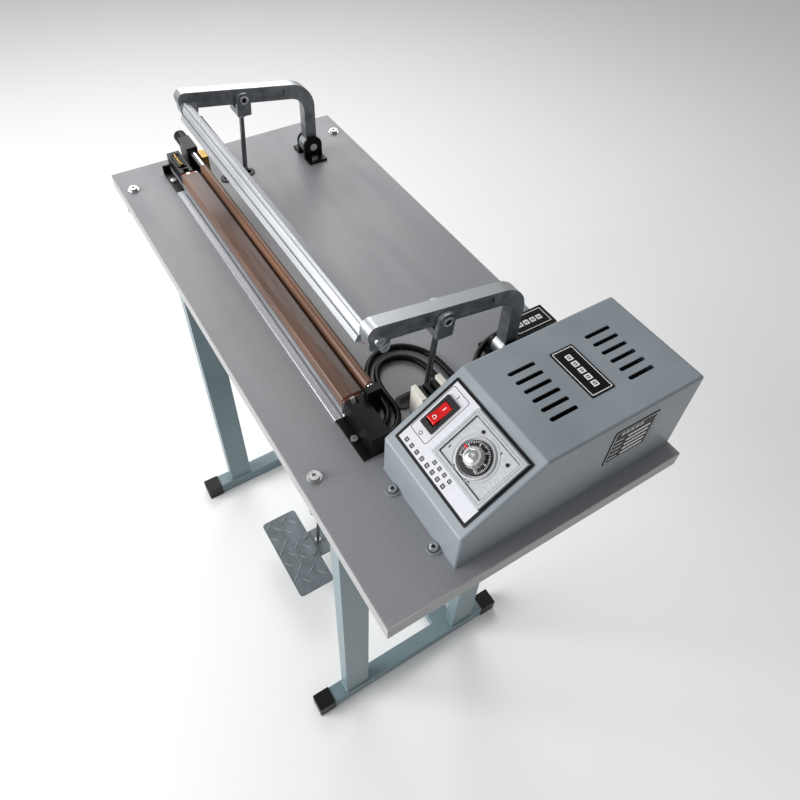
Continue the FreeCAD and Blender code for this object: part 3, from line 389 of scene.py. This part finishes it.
def add_slab(bm, outline, low, high, hole=()):
    """Straight-sided plate from an outline; a hole with as many points makes it a ring."""
    rings = []
    for z in (low, high):
        rings.append([bm.verts.new((x, y, z)) for x, y in outline])
    count = len(outline)
    for k in range(count):
        n = (k + 1) % count
        bm.faces.new((rings[0][k], rings[0][n], rings[1][n], rings[1][k]))
    if not hole:
        bm.faces.new(rings[1])
        bm.faces.new(list(reversed(rings[0])))
        return
    inner = []
    for z in (low, high):
        inner.append([bm.verts.new((x, y, z)) for x, y in hole])
    for k in range(count):
        n = (k + 1) % count
        bm.faces.new((inner[1][k], inner[1][n], inner[0][n], inner[0][k]))
        bm.faces.new((rings[1][k], rings[1][n], inner[1][n], inner[1][k]))
        bm.faces.new((rings[0][n], rings[0][k], inner[0][k], inner[0][n]))


def circle(cx, cy, radius, steps=48):
    return [(cx + radius * math.cos(2 * math.pi * k / steps), cy + radius * math.sin(2 * math.pi * k / steps))
            for k in range(steps)]


def add_lathe(bm, profile, steps=40, centre=(0, 0, 0)):
    """Turn a profile of (radius, height) about Z."""
    rows = []
    for r, z in profile:
        if r < 1e-7:
            rows.append([bm.verts.new((centre[0], centre[1], centre[2] + z))])
        else:
            rows.append([bm.verts.new((centre[0] + r * math.cos(2 * math.pi * k / steps),
                                       centre[1] + r * math.sin(2 * math.pi * k / steps), centre[2] + z))
                         for k in range(steps)])
    for a, b in zip(rows, rows[1:]):
        for k in range(steps):
            n = (k + 1) % steps
            corners = [a[k % len(a)], a[n % len(a)], b[n % len(b)], b[k % len(b)]]
            unique = list(dict.fromkeys(corners))
            if len(unique) > 2:
                bm.faces.new(unique)


def add_tube(bm, points, radius, steps=10):
    """Round bar through points, with flat ends."""
    rows = []
    count = len(points)
    side = None
    for i, p in enumerate(points):
        ahead = points[min(i + 1, count - 1)]
        behind = points[max(i - 1, 0)]
        along = (Vector(ahead) - Vector(behind)).normalized()
        if side is None:
            side = along.orthogonal().normalized()
        side = (side - along * side.dot(along)).normalized()
        other = along.cross(side)
        rows.append([bm.verts.new(Vector(p) + radius * (side * math.cos(2 * math.pi * k / steps)
                                                       + other * math.sin(2 * math.pi * k / steps)))
                     for k in range(steps)])
    for a, b in zip(rows, rows[1:]):
        for k in range(steps):
            n = (k + 1) % steps
            bm.faces.new((a[k], a[n], b[n], b[k]))
    bm.faces.new(rows[-1])
    bm.faces.new(list(reversed(rows[0])))


def soften(obj, width, segments=2):
    edge = obj.modifiers.new("soft_edges", "BEVEL")
    edge.width = width
    edge.segments = segments
    edge.limit_method = "ANGLE"
    edge.angle_limit = math.radians(50)
    edge.harden_normals = True


edge_rounds = {                  # width of each piece's broken edges, in millimetres
    0.25: ("deck_fasteners",),
    0.3: ("jaw_beam", "table_bolts", "rod_slot_bezels", "bar_bolts", "rod_nuts"),
    0.35: ("pressure_bar", "control_box_shell"),
    0.4: ("bar_end_brackets",),
    0.5: ("table_edge_band", "arm_brackets", "rocker_bezel", "power_rocker", "timer_body"),
    0.6: ("cross_member", "jaw_end_bracket_left", "jaw_end_bracket_right", "terminal_block", "pedal_lever"),
    0.7: ("clevis_blocks",),
    0.8: ("terminal_cheeks", "pull_crossbar", "trigger_switch"),
    0.9: ("leg_frames", "foot_rails", "arm_left", "arm_right"),
    1.0: ("roller_housing",),
    1.2: ("switch_housing",),
    1.6: ("foot_caps",),
}
for width, names in edge_rounds.items():
    for name in names:
        if name in nodes:
            soften(nodes[name], width * mm)


# ---- free leads -----------------------------------------------------------
lead_radius = 3.3 * mm
# control points from the table's middle, in millimetres, z from the table's surface
lead_routes = {
    "jaw_lead_outer": [(221.4, 26.5, 10), (209, 26.6, 9.6), (193, 27.6, 6.2), (173, 28.8, 3.8),
                       (149, 28.5, 3.5), (125, 24.6, 3.4), (101.6, 4.6, 3.5), (98.9, -26.4, 3.4),
                       (120.4, -47.6, 3.5), (143.5, -50.9, 3.9), (168.2, -50.2, 4.6), (179.5, -56.7, 5.1),
                       (186, -68, 5.4), (186, -81, 5.4)],
    "jaw_lead_inner": [(221.4, 13, 10), (209, 13, 9.6), (194, 13.4, 6.3), (174, 14.1, 3.8),
                       (151, 13.4, 3.5), (129.8, 9.8, 3.4), (114, -5.6, 3.4), (113.4, -27.4, 3.6),
                       (129.6, -41.2, 4.4), (151.6, -43.7, 5.2), (175.1, -43.0, 5.4), (189, -51, 5.3),
                       (197, -64.9, 5.4), (197, -81, 5.4)],
    "switch_lead": [(187, 1.2, 21), (187, 13, 20.6), (185.8, 26, 17.6), (180.6, 38.5, 11.2),
                    (171, 50.8, 5.4), (159, 62.5, 4.6), (150.8, 76, 8.9), (147.3, 90.6, 11.7),
                    (147.4, 105.2, 11.9)],
    "box_lead": [(169.3, 123, 12), (182, 123.4, 8), (196, 121, 4.8), (209, 116.6, 8.6), (221.4, 114, 14)],
}


def make_leads():
    for name, route in lead_routes.items():
        data = bpy.data.curves.new(name + "_line", "CURVE")
        data.dimensions = "3D"
        data.bevel_depth = lead_radius
        data.bevel_resolution = 6
        data.use_fill_caps = True
        spline = data.splines.new("NURBS")
        spline.points.add(len(route) - 1)
        for point, (x, y, z) in zip(spline.points, route):
            point.co = (x * mm, y * mm, deck + z * mm, 1.0)
        spline.order_u = 3
        spline.use_endpoint_u = True
        spline.resolution_u = 10
        data.materials.append(finish["cable_rubber"])
        lead = bpy.data.objects.new(name + "_jacket", data)
        bpy.context.collection.objects.link(lead)
        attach(lead, "stand")
        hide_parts(name)
        x, y, z = route[0]


make_leads()

# ---- lower jaw cloth --------------------------------------------------------
jaw_front, jaw_rear = -90.6, -69.7
jaw_middle_z = 14
cloth_top = 27.2
roller_y, roller_z = -61.5, 30.0
top_steps = 14                   # divisions of the cloth over the jaw's flat top
wrap_steps = 34                  # divisions round the roller
end_gap = 0.4 * mm               # from the cloth's cut ends to its CAD box
cloth_thickness = 0.2 * mm
ripple = 0.12 * mm


def cloth_profile():
    """Section of the release cloth: front hem, jaw top, the slack dip, then round its roller."""
    points = [(jaw_front - 0.35, z) for z in (5, 9, 13, 17, 21, 24.5)]
    points += [(jaw_front - 0.3, 26.2), (jaw_front + 0.5, cloth_top - 0.05)]
    flat = jaw_rear - jaw_front - 1.6
    points += [(jaw_front + 1 + flat * k / top_steps, cloth_top) for k in range(top_steps + 1)]
    points += [(-69.6, 26.6), (-69.2, 25.2), (-68.7, 23.6), (-67.8, 22.5), (-66.8, 22.9), (-66.2, 24.6),
               (-65.9, 26.4)]
    radius, growth = 4.4, 0.4
    start, sweep = 205, 400      # degrees
    for k in range(wrap_steps + 1):
        a = math.radians(start + sweep * k / wrap_steps)
        wrap = radius + growth * k / wrap_steps
        points.append((roller_y + wrap * math.cos(a), roller_z + wrap * math.sin(a)))
    return points


def make_cloth():
    lo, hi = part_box("ptfe_cloth")
    profile = cloth_profile()
    columns = 150
    width = hi[0] - lo[0] - 2 * end_gap
    jaw_centre = Vector((0, (jaw_front + jaw_rear) / 2, jaw_middle_z))
    roller_centre = Vector((0, roller_y, roller_z))
    bm = bmesh.new()
    grid = []
    for i in range(columns + 1):
        x = lo[0] + end_gap + width * i / columns
        row = []
        for j, (y, z) in enumerate(profile):
            slack = noise.noise(Vector((x * 22, j * 0.33, 1.7)))
            slack += 0.5 * noise.noise(Vector((x * 70, j * 0.6, 5.1)))
            lift = ripple * (slack + 0.6)
            centre = roller_centre if j >= len(profile) - wrap_steps - 1 else jaw_centre
            out = (Vector((0, y, z)) - centre).normalized()
            if 8 <= j < 8 + top_steps + 1:
                out = Vector((0, 0, 1))
            row.append(bm.verts.new((x, y * mm + out.y * lift, deck + z * mm + out.z * lift)))
        grid.append(row)
    for a, b in zip(grid, grid[1:]):
        for j in range(len(profile) - 1):
            bm.faces.new((a[j], b[j], b[j + 1], a[j + 1]))
    cloth = piece("release_cloth", bm, "brown_cloth")
    skin = cloth.modifiers.new("cloth_thickness", "SOLIDIFY")
    skin.thickness = cloth_thickness
    skin.offset = -1
    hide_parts("ptfe_cloth")


make_cloth()


# ---- control panel ----------------------------------------------------------
# The panel's own frame is in millimetres: x as the table's, v up the slope, then height off the sheet.
slope_foot = (-87.8, 47.7)       # y, and z from the table's surface
slope_head = (-12.0, 98.7)
slope = math.atan2(slope_head[1] - slope_foot[1], slope_head[0] - slope_foot[0])
panel_place = Matrix.Translation(Vector((0, slope_foot[0] * mm, deck + slope_foot[1] * mm))) \
    @ Matrix.Rotation(slope, 4, "X") @ Matrix.Scale(mm, 4)
panel_x, panel_v = (227.6, 329.1), (8.8, 82.2)
timer_x, timer_v = (262.8, 326.4), (26.2, 78.4)
face_x, face_v = (267.0, 322.2), (31.6, 74.0)
rocker_x, rocker_v = 242.4, 50.4
dial_x, dial_v = 293.4, 50.4
dial_centre = Matrix.Translation(Vector((dial_x, dial_v, 0)))
sheet_top = 0.7
face_low, face_top = 2.62, 2.82  # silver plate sunk in the timer's frame
frame_top = 4.4                  # top of the timer's frame
skirt_low, skirt_top = 3.32, 5.2
grip_top = 11.5
ink = 0.12                       # thickness of raised ink
numerals_at = 10.6               # radius of the dial's numbers
scale_start, scale_sweep = -125, 250     # degrees from straight up the slope


def plates(name, parts, place, low, high, slot, material=None, body="stand"):
    """Flat plates or raised ink; parts are (outline, hole) pairs in millimetres."""
    bm = bmesh.new()
    for outline, hole in parts:
        add_slab(bm, outline, low, high, hole)
    return piece(name, bm, slot, body, material, place, smooth=False)


def frame_line(x, y, radius, width):
    """Outline and hole of a line of one width round a rounded rectangle."""
    inner_radius = max(radius - width, 0.2)
    return (rounded_rectangle(*x, *y, radius),
            rounded_rectangle(x[0] + width, x[1] - width, y[0] + width, y[1] - width, inner_radius))


def bar(x0, x1, y0, y1):
    return (rounded_rectangle(x0, x1, y0, y1, min(x1 - x0, y1 - y0) * 0.2, 2), ())


def ring(x, y, radius, hole, steps):
    return (circle(x, y, radius, steps), circle(x, y, hole, steps))


def code_row(x, y, count, size, pitch, corner, wall, stem):
    """Row of open squares, each with a centre bar. wall is the line's share of a square's size, and
    stem is how far the bar stays from the sides and from the ends, as shares too."""
    marks = []
    for k in range(count):
        left, right, low, high = x + pitch * k, x + pitch * k + size, y, y + size
        line, side, end = size * wall, size * stem[0], size * stem[1]
        marks.append((rounded_rectangle(left, right, low, high, corner, 2),
                      rounded_rectangle(left + line, right - line, low + line, high - line, corner / 2, 2)))
        marks.append(bar(left + side, right - side, low + end, high - end))
    return marks


def make_panel():
    # black border, a line round the rocker and two rows of plain code marks
    lines = [frame_line(panel_x, panel_v, 1.2, 2.7)]
    lines.append(frame_line((rocker_x - 11.4, rocker_x + 11.4), (rocker_v - 26, rocker_v + 25), 2.4, 0.45))
    lines += code_row(236.2, 13.4, 8, 3.9, 7.6, 0.3, 0.24, (0.4, 0.32))
    lines += code_row(269.5, 20.2, 4, 3.5, 7.0, 0.3, 0.24, (0.4, 0.32))
    plates("panel_ink", lines, panel_place, sheet_top, sheet_top + ink, "printed_panel", black_ink)
    off_and_on = [ring(rocker_x, rocker_v - 22.4, 1.9, 1.35, 24),
                  bar(rocker_x - 0.35, rocker_x + 0.35, rocker_v + 18.6, rocker_v + 22.4)]
    plates("switch_scale_marks", off_and_on, panel_place, sheet_top, sheet_top + ink, "printed_panel",
           black_ink)


def make_rocker_marks():
    # a ring and a bar on the rocker's tilted faces
    low, high = 3.5, 3.85
    tilt = Matrix.Translation(Vector((0, rocker_v, 0))) @ Matrix.Rotation(math.radians(-10), 4, "X") \
        @ Matrix.Translation(Vector((0, -rocker_v, 0)))
    marks = [ring(rocker_x, rocker_v - 5.2, 2.0, 1.35, 28),
             (rounded_rectangle(rocker_x - 0.4, rocker_x + 0.4, rocker_v + 3.4, rocker_v + 7.4, 0.2, 2), ())]
    plates("rocker_marks", marks, panel_place @ tilt, low, high, "red_plastic", white_ink, "rocker")


def turned_on_panel(name, profile, slot, body="stand", material=None, steps=72):
    """Round piece about the dial's axis, from (radius, height) points in millimetres."""
    bm = bmesh.new()
    add_lathe(bm, profile, steps, (dial_x, dial_v, 0))
    return piece(name, bm, slot, body, material, panel_place)


def make_timer_face():
    # silver face plate sunk in the timer's frame, with two lamps, a scale ring, code marks and a black line
    # of painted shadow round the face's edge
    face = rounded_rectangle(face_x[0] + 0.1, face_x[1] - 0.1, face_v[0] + 0.1, face_v[1] - 0.1, 0.6)
    plates("timer_face", [(face, ())], panel_place, face_low, face_top, "timer_plastic", silver_film)
    # black line round the face's edge: painted shadow at the foot of the frame's recess wall
    marks = [frame_line(face_x, face_v, 0.5, 0.75)]
    for k in range(5):
        marks.append(bar(284.5 + 4.6 * k, 287.6 + 4.6 * k, face_v[0] + 1.7, face_v[0] + 3.3))
    marks += [bar(270.2, 271.1, 39.2, 42.0), bar(304.4, 305.4, 67.4, 69.6)]
    plates("timer_ink", marks, panel_place, face_top + 0.01, face_top + 0.11, "timer_plastic", black_ink)
    rim = frame_line((timer_x[0] + 2.0, timer_x[1] - 2.0), (timer_v[0] + 2.4, timer_v[1] - 2.0), 1.0, 0.3)
    plates("timer_frame_line", [rim], panel_place, frame_top, frame_top + 0.05, "timer_plastic", grey_ink)
    lamps = bmesh.new()
    dome = [(1.6, 0), (1.6, 0.6), (1.35, 1.0), (0.8, 1.35), (0, 1.45)]
    for x, v in ((281.4, 68.6), (315.4, 66.2)):
        add_lathe(lamps, dome, 24, (x, v, face_top - 0.02))
    piece("timer_lamps", lamps, "black_plastic", place=panel_place)
    turned_on_panel("dial_guard_ring", [(16.0, face_top), (16.0, 4.3), (16.5, 4.7), (17.2, 4.6), (17.7, 3.9),
                                        (18.0, face_top)], "timer_plastic", material=silver_film)
    turned_on_panel("dial_step_ring", [(19.6, face_top), (19.8, 3.2), (20.4, 3.25), (20.6, face_top)],
                    "timer_plastic", material=silver_film)


def make_grip():
    # twelve flutes run up the clear knob
    steps = 96
    flutes, flute_depth = 12, 0.5
    bm = bmesh.new()
    rows = []
    for radius, z in ((9.3, skirt_top), (9.3, 5.7), (8.7, 6.2), (8.4, 10.2), (7.6, 11.2), (6.0, grip_top)):
        row = []
        for k in range(steps):
            a = 2 * math.pi * k / steps
            cut = flute_depth * max(0.0, math.cos(a * flutes)) if radius > 8 else 0
            x, v = dial_x + (radius - cut) * math.cos(a), dial_v + (radius - cut) * math.sin(a)
            row.append(bm.verts.new((x, v, z)))
        rows.append(row)
    for a, b in zip(rows, rows[1:]):
        for k in range(steps):
            n = (k + 1) % steps
            bm.faces.new((a[k], a[n], b[n], b[k]))
    bm.faces.new(rows[-1])
    piece("dial_grip", bm, "clear_knob", "timer_dial", place=panel_place)


def make_dial_scale():
    # 41 ticks, every fourth one longer, and the numbers 0 to 10 in steps of two
    ticks = bmesh.new()
    gaps = 40
    for k in range(gaps + 1):
        mark = bmesh.new()
        inner = 12.3 if k % 4 else 11.6
        add_slab(mark, [(-0.17, inner), (0.17, inner), (0.17, 13.6), (-0.17, 13.6)], 5.02, 5.28)
        turn = Matrix.Rotation(-math.radians(scale_start + scale_sweep * k / gaps), 4, "Z")
        merge(ticks, mark, dial_centre @ turn)
    piece("dial_ticks", ticks, "black_plastic", "timer_dial", white_ink, panel_place, smooth=False)

    numbers = bmesh.new()
    for k in range(6):
        data = bpy.data.curves.new("figure", "FONT")
        data.body = str(2 * k)
        data.size = 3.2
        data.extrude = 0.06
        data.align_x = "CENTER"
        data.align_y = "CENTER"
        figure = bpy.data.objects.new("figure", data)
        part = bpy.data.meshes.new_from_object(figure)
        a = math.radians(scale_start + scale_sweep * k / 5)
        spot = Vector((dial_x + numerals_at * math.sin(a), dial_v + numerals_at * math.cos(a), 5.26))
        part.transform(Matrix.Translation(spot) @ Matrix.Rotation(-a, 4, "Z"))
        numbers.from_mesh(part)
        bpy.data.meshes.remove(part)
        bpy.data.objects.remove(figure)
        bpy.data.curves.remove(data)
    piece("dial_figures", numbers, "black_plastic", "timer_dial", white_ink, panel_place, smooth=False)


def make_dial():
    # the turning part: black numbered skirt, fluted clear knob, bright cap and red pointer
    skirt = turned_on_panel("dial_skirt", [(0, skirt_low), (14.2, skirt_low), (14.5, 3.6), (14.5, 4.5),
                                           (14.0, 5.0), (11.0, skirt_top), (0, skirt_top)],
                            "black_plastic", "timer_dial")
    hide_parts("timer_knob")
    make_grip()
    turned_on_panel("dial_cap", [(5.6, 11.3), (5.5, 11.9), (4.7, 12.3), (2.4, 12.35), (2.0, 12.0), (0, 11.9)],
                    "chrome_steel", "timer_dial", steps=48)
    make_dial_scale()
    pointer = bmesh.new()
    add_slab(pointer, [(-1.2, 9.0), (1.2, 9.0), (0.5, 14.2), (-0.5, 14.2)], 5.3, 5.9)
    turn = Matrix.Rotation(math.radians(88), 4, "Z")
    piece("dial_pointer", pointer, "red_plastic", "timer_dial", red_ink, panel_place @ dial_centre @ turn,
          smooth=False)


make_panel()
make_rocker_marks()
make_timer_face()
make_dial()


# ---- label plates with plain code marks --------------------------------------
def frame_at(point, *turns):
    """Frame in millimetres at a point given in metres, after quarter turns about the named axes."""
    place = Matrix.Translation(Vector(point))
    for axis in turns:
        place = place @ Matrix.Rotation(quarter_turn, 4, axis)
    return place @ Matrix.Scale(mm, 4)


def make_label_plates():
    # one plate each on the box's top, on its right side and on the switch housing
    top = frame_at((250 * mm, 59 * mm, deck + 99.3 * mm))
    side = frame_at((335.9 * mm, 62 * mm, deck + 37 * mm), "Z", "X")
    rear = frame_at((167 * mm, 109 * mm, deck + 21.1 * mm), "Z")
    bm = bmesh.new()
    for place, width, height in ((top, 55, 25.2), (side, 50, 47), (rear, 46.5, 24)):
        plate = bmesh.new()
        add_slab(plate, rounded_rectangle(0, width, 0, height, 0.8, 3), -0.55, 0.02)
        merge(bm, plate, place)
    backs = piece("black_label_plates", bm, "printed_panel", material=black_ink, smooth=False)
    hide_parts("label_plates")

    style = (0.4, 0.22, (0.42, 0.3))
    on_top = [frame_line((1.6, 53.4), (1.6, 23.6), 0.6, 0.7)] + code_row(8.4, 9.6, 5, 6.0, 8.1, *style)
    on_rear = [frame_line((1.4, 45.1), (1.4, 22.6), 0.6, 0.7)] + code_row(7.6, 8.6, 4, 6.2, 8.4, *style)
    on_side = [frame_line((1.4, 48.6), (1.4, 45.6), 0.6, 0.6)]
    for k in range(5):
        y = 6 + 6.4 * k
        on_side.append(bar(4, 14, y, y + 1.0))
        on_side.append((rounded_rectangle(18, 44, y - 0.5, y + 1.9, 0.3, 2), ()))
    on_side += code_row(8, 39, 5, 3.6, 5.2, *style)
    for name, parts, place in (("top_label_ink", on_top, top), ("rear_label_ink", on_rear, rear),
                               ("side_label_ink", on_side, side)):
        plates(name, parts, place, 0, 0.1, "printed_panel", white_ink)


make_label_plates()


# ---- pedal tread plate --------------------------------------------------------
def make_tread():
    # bowed bars stand on the plate in rows, leaning one way and the other, clear of the two bolts
    lo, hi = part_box("pedal_plate")
    bar_height = 1.0 * mm
    low, face = lo[2], hi[2] - bar_height
    bm = bmesh.new()
    add_slab(bm, rounded_rectangle(lo[0], hi[0], lo[1], hi[1], 6 * mm, 8), low, face)
    edges = [e for e in bm.edges if abs(e.verts[0].co.z - e.verts[1].co.z) < 1e-7]
    bmesh.ops.bevel(bm, geom=edges, offset=0.6 * mm, segments=2, affect="EDGES")
    pitch, row_gap = 29 * mm, 15.3 * mm
    half_bar = Matrix.Diagonal(Vector((12 * mm, 1.6 * mm, bar_height + 0.05 * mm, 1)))
    bow, bolt_clearance = 1.1, 13 * mm
    bolts = ((-0.071, -0.067), (-0.035, -0.067))
    row = 0
    y = lo[1] + 9 * mm
    while y < hi[1] - 6 * mm:
        x = lo[0] + 10 * mm + (pitch / 2 if row % 2 else 0)
        column = 0
        while x < hi[0] - 8 * mm:
            if min(math.dist((x, y), bolt) for bolt in bolts) > bolt_clearance:
                raised = bmesh.new()
                bmesh.ops.create_uvsphere(raised, u_segments=24, v_segments=12, radius=1.0)
                for vert in raised.verts:
                    vert.co.y += bow * (vert.co.x ** 2 - 0.4)
                lean = math.radians(40 if (row + column) % 2 else -50)
                middle = Matrix.Translation(Vector((x, y, face - 0.1 * mm)))
                merge(bm, raised, middle @ Matrix.Rotation(lean, 4, "Z") @ half_bar)
            x += pitch
            column += 1
        y += row_gap
        row += 1
    tread = piece("tread_plate", bm, "tread_plate_paint", "pedal")
    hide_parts("pedal_plate")


make_tread()


# ---- bright screw and pin heads ------------------------------------------------
def make_pin_faces():
    # a turned ring round a hex socket, on the outer face of each arm's clevis pin; a black hex disc in the
    # socket is painted shade
    lo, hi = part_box("clevis_pins")
    y, z = (lo[1] + hi[1]) / 2, (lo[2] + hi[2]) / 2
    arm_spacing = 436 * mm
    rings, painted_shade_parts = bmesh.new(), bmesh.new()
    for x in (hi[0], hi[0] - arm_spacing):
        place = frame_at((x, y, z), "Y")
        face = bmesh.new()
        add_lathe(face, [(3.1, -0.3), (3.1, 0.05), (3.5, 0.35), (4.9, 0.35), (5.5, 0.0), (5.5, -1.3)], 40)
        merge(rings, face, place)
        # painted shade: a black hex disc fills the socket where the hole would be dark
        painted_shade_part = bmesh.new()
        add_slab(painted_shade_part, circle(0, 0, 3.15, 6), -0.3, 0.12)
        merge(painted_shade_parts, painted_shade_part, place)
    piece("pin_head_rings", rings, "chrome_steel", "press_arms")
    piece("pin_head_socket_shade", painted_shade_parts, "black_plastic", "press_arms", smooth=False)


def make_tab_screws():
    # domed heads on the box's two hold-down tabs, with painted shade as black sockets and a black ring at
    # each head's foot
    tab_radius = 6.5 * mm
    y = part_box("control_box_base")[0][1] + tab_radius
    heads, painted_shade_parts = bmesh.new(), bmesh.new()
    for x in (246 * mm, 311 * mm):
        place = frame_at((x, y, deck + 3.6 * mm))
        head = bmesh.new()
        add_lathe(head, [(1.7, -0.2), (1.7, 0.9), (2.2, 1.0), (3.0, 0.8), (3.8, 0.3), (4.3, -0.5),
                         (4.4, -2.2)], 40)
        merge(heads, head, place)
        # painted shade: a black hex disc in each socket and a thin black ring round each head's foot
        painted_shade_part = bmesh.new()
        add_slab(painted_shade_part, circle(0, 0, 1.8, 6), -0.2, 0.5)
        add_slab(painted_shade_part, circle(0, 0, 4.8, 36), -2.55, -2.1, circle(0, 0, 4.2, 36))
        merge(painted_shade_parts, painted_shade_part, place)
    piece("tab_screw_heads", heads, "zinc_steel")
    piece("tab_screw_shade", painted_shade_parts, "black_plastic", smooth=False)


def make_tension_screw():
    # the ribbon's threaded tension screw lies in a slot of the left end cover
    lo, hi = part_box("jaw_end_bracket_left")
    top = hi[2]
    x0, x1 = lo[0] + 7 * mm, hi[0] - 14 * mm
    y = (jaw_front + jaw_rear - 4.6) / 2 * mm
    half, wall = 5.6 * mm, 1.4 * mm
    rim = bmesh.new()
    add_slab(rim, rounded_rectangle(x0, x1, y - half, y + half, 2.5 * mm, 5), top - 0.1 * mm, top + 1.6 * mm,
             rounded_rectangle(x0 + wall, x1 - wall, y - half + wall, y + half - wall, wall, 5))
    piece("screw_slot_rim", rim, "black_paint", smooth=False)

    threads, crest, root, head = 14, 1.75 * mm, 1.35 * mm, 2.6 * mm
    length = x1 - x0 - 5 * mm
    profile = [(0, 0)]
    for k in range(threads):
        profile += [(crest, length * (k + 0.25) / threads), (root, length * (k + 0.75) / threads)]
    profile += [(head, length), (head, length + 2 * mm), (0, length + 2 * mm)]
    screw = bmesh.new()
    add_lathe(screw, profile, 20)
    axis = Matrix.Translation(Vector((x0 + 1.8 * mm, y, top + 0.9 * mm)))
    piece("tension_screw", screw, "brass", place=axis @ Matrix.Rotation(quarter_turn, 4, "Y"))


make_pin_faces()
make_tab_screws()
make_tension_screw()


# ---- pedal return spring -------------------------------------------------------
def coil_points(start, end, radius, turns, steps=22, closing=0.0495):
    """Helix along a straight line, its coils closer at both ends."""
    a, b = Vector(start), Vector(end)
    along = (b - a).normalized()
    side = along.orthogonal().normalized()
    other = along.cross(side)
    count = int(turns * steps)
    points = []
    for k in range(count + 1):
        t = k / count
        eased = t - closing * math.sin(2 * math.pi * t)
        angle = 2 * math.pi * turns * t
        points.append(a + (b - a) * eased + radius * (side * math.cos(angle) + other * math.sin(angle)))
    return points


def make_spring():
    lo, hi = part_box("pedal_return_spring")
    x, y = (lo[0] + hi[0]) / 2, (lo[1] + hi[1]) / 2
    wire = 1 * mm
    bm = bmesh.new()
    add_tube(bm, coil_points((x, y, lo[2] + wire), (x, y, hi[2] - wire), 6 * mm, 4.5), wire, 10)
    mesh = to_mesh("return_spring_wire", bm)
    mesh.materials.append(finish["spring_steel"])
    spring = bpy.data.objects.new("return_spring_wire", mesh)
    bpy.context.collection.objects.link(spring)
    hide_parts("pedal_return_spring")
    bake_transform(spring)


make_spring()


# ---- weld beads ---------------------------------------------------------------
def make_welds():
    # fillets round both ends of the four legs, with the uneven line of hand welding
    rail_top, table_rail = 26.5 * mm, deck - 22 * mm
    half_x, half_y = 10 * mm, 20 * mm
    bead, ripple_pitch, wander = 1.35 * mm, 2.2 * mm, 0.35 * mm
    along_x, along_y = half_x - mm, half_y - mm
    seams = []
    for x in (-0.293, 0.1855):
        for y in (-0.106, 0.106):
            for z in (rail_top, table_rail):
                for side in (x - half_x, x + half_x):
                    seams.append(((side, y - along_y, z), (side, y + along_y, z)))
                for side in (y - half_y, y + half_y):
                    seams.append(((x - along_x, side, z), (x + along_x, side, z)))
    bm = bmesh.new()
    for start, end in seams:
        a, b = Vector(start), Vector(end)
        count = 3 * max(4, int((b - a).length / ripple_pitch))
        points = []
        for k in range(count + 1):
            t = k / count
            wobble = noise.noise(a * 40 + Vector((t * 9, 0, 0))) * wander
            points.append(a + (b - a) * t + Vector((wobble, wobble, 0)))
        add_tube(bm, points, bead, 8)
    piece("weld_beads", bm, "blue_grey_paint")


make_welds()


# ---- stage ------------------------------------------------------------------
def make_stage():
    mat, shader = blank("white_studio_paper", **{"Roughness": 0.9, "IOR": 1.45})
    shader.inputs["Base Color"].default_value = linear("F4F4F4")
    bm = bmesh.new()
    bmesh.ops.create_grid(bm, x_segments=1, y_segments=1, size=9.0)
    mesh = bpy.data.meshes.new("studio_floor")
    bm.to_mesh(mesh)
    bm.free()
    mesh.materials.append(mat)
    floor = bpy.data.objects.new("studio_floor", mesh)
    bpy.context.collection.objects.link(floor)
    floor.location.z = -0.0005

    world = bpy.data.worlds.new("soft_studio")
    world.use_nodes = True
    world.node_tree.nodes["Background"].inputs["Color"].default_value = (1, 1, 1, 1)
    world.node_tree.nodes["Background"].inputs["Strength"].default_value = 0.34
    bpy.context.scene.world = world
    # name, place, aim, side of the square in metres, watts
    lamps = (("front_window", (-0.7, -2.6, 1.55), (0, 0, 0.7), 2.2, 112),
             ("top_softbox", (-1.7, 0.5, 2.1), (0, 0, 0.7), 1.5, 26),
             ("side_fill", (2.3, -0.5, 1.3), (0, 0, 0.6), 1.4, 3))
    for name, where, target, size, power in lamps:
        data = bpy.data.lights.new(name, "AREA")
        data.size = size
        data.energy = power
        lamp = bpy.data.objects.new(name, data)
        lamp.location = where
        lamp.rotation_euler = (Vector(target) - Vector(where)).to_track_quat("-Z", "Y").to_euler()
        bpy.context.collection.objects.link(lamp)
    bpy.context.scene.view_settings.view_transform = "Standard"


make_stage()
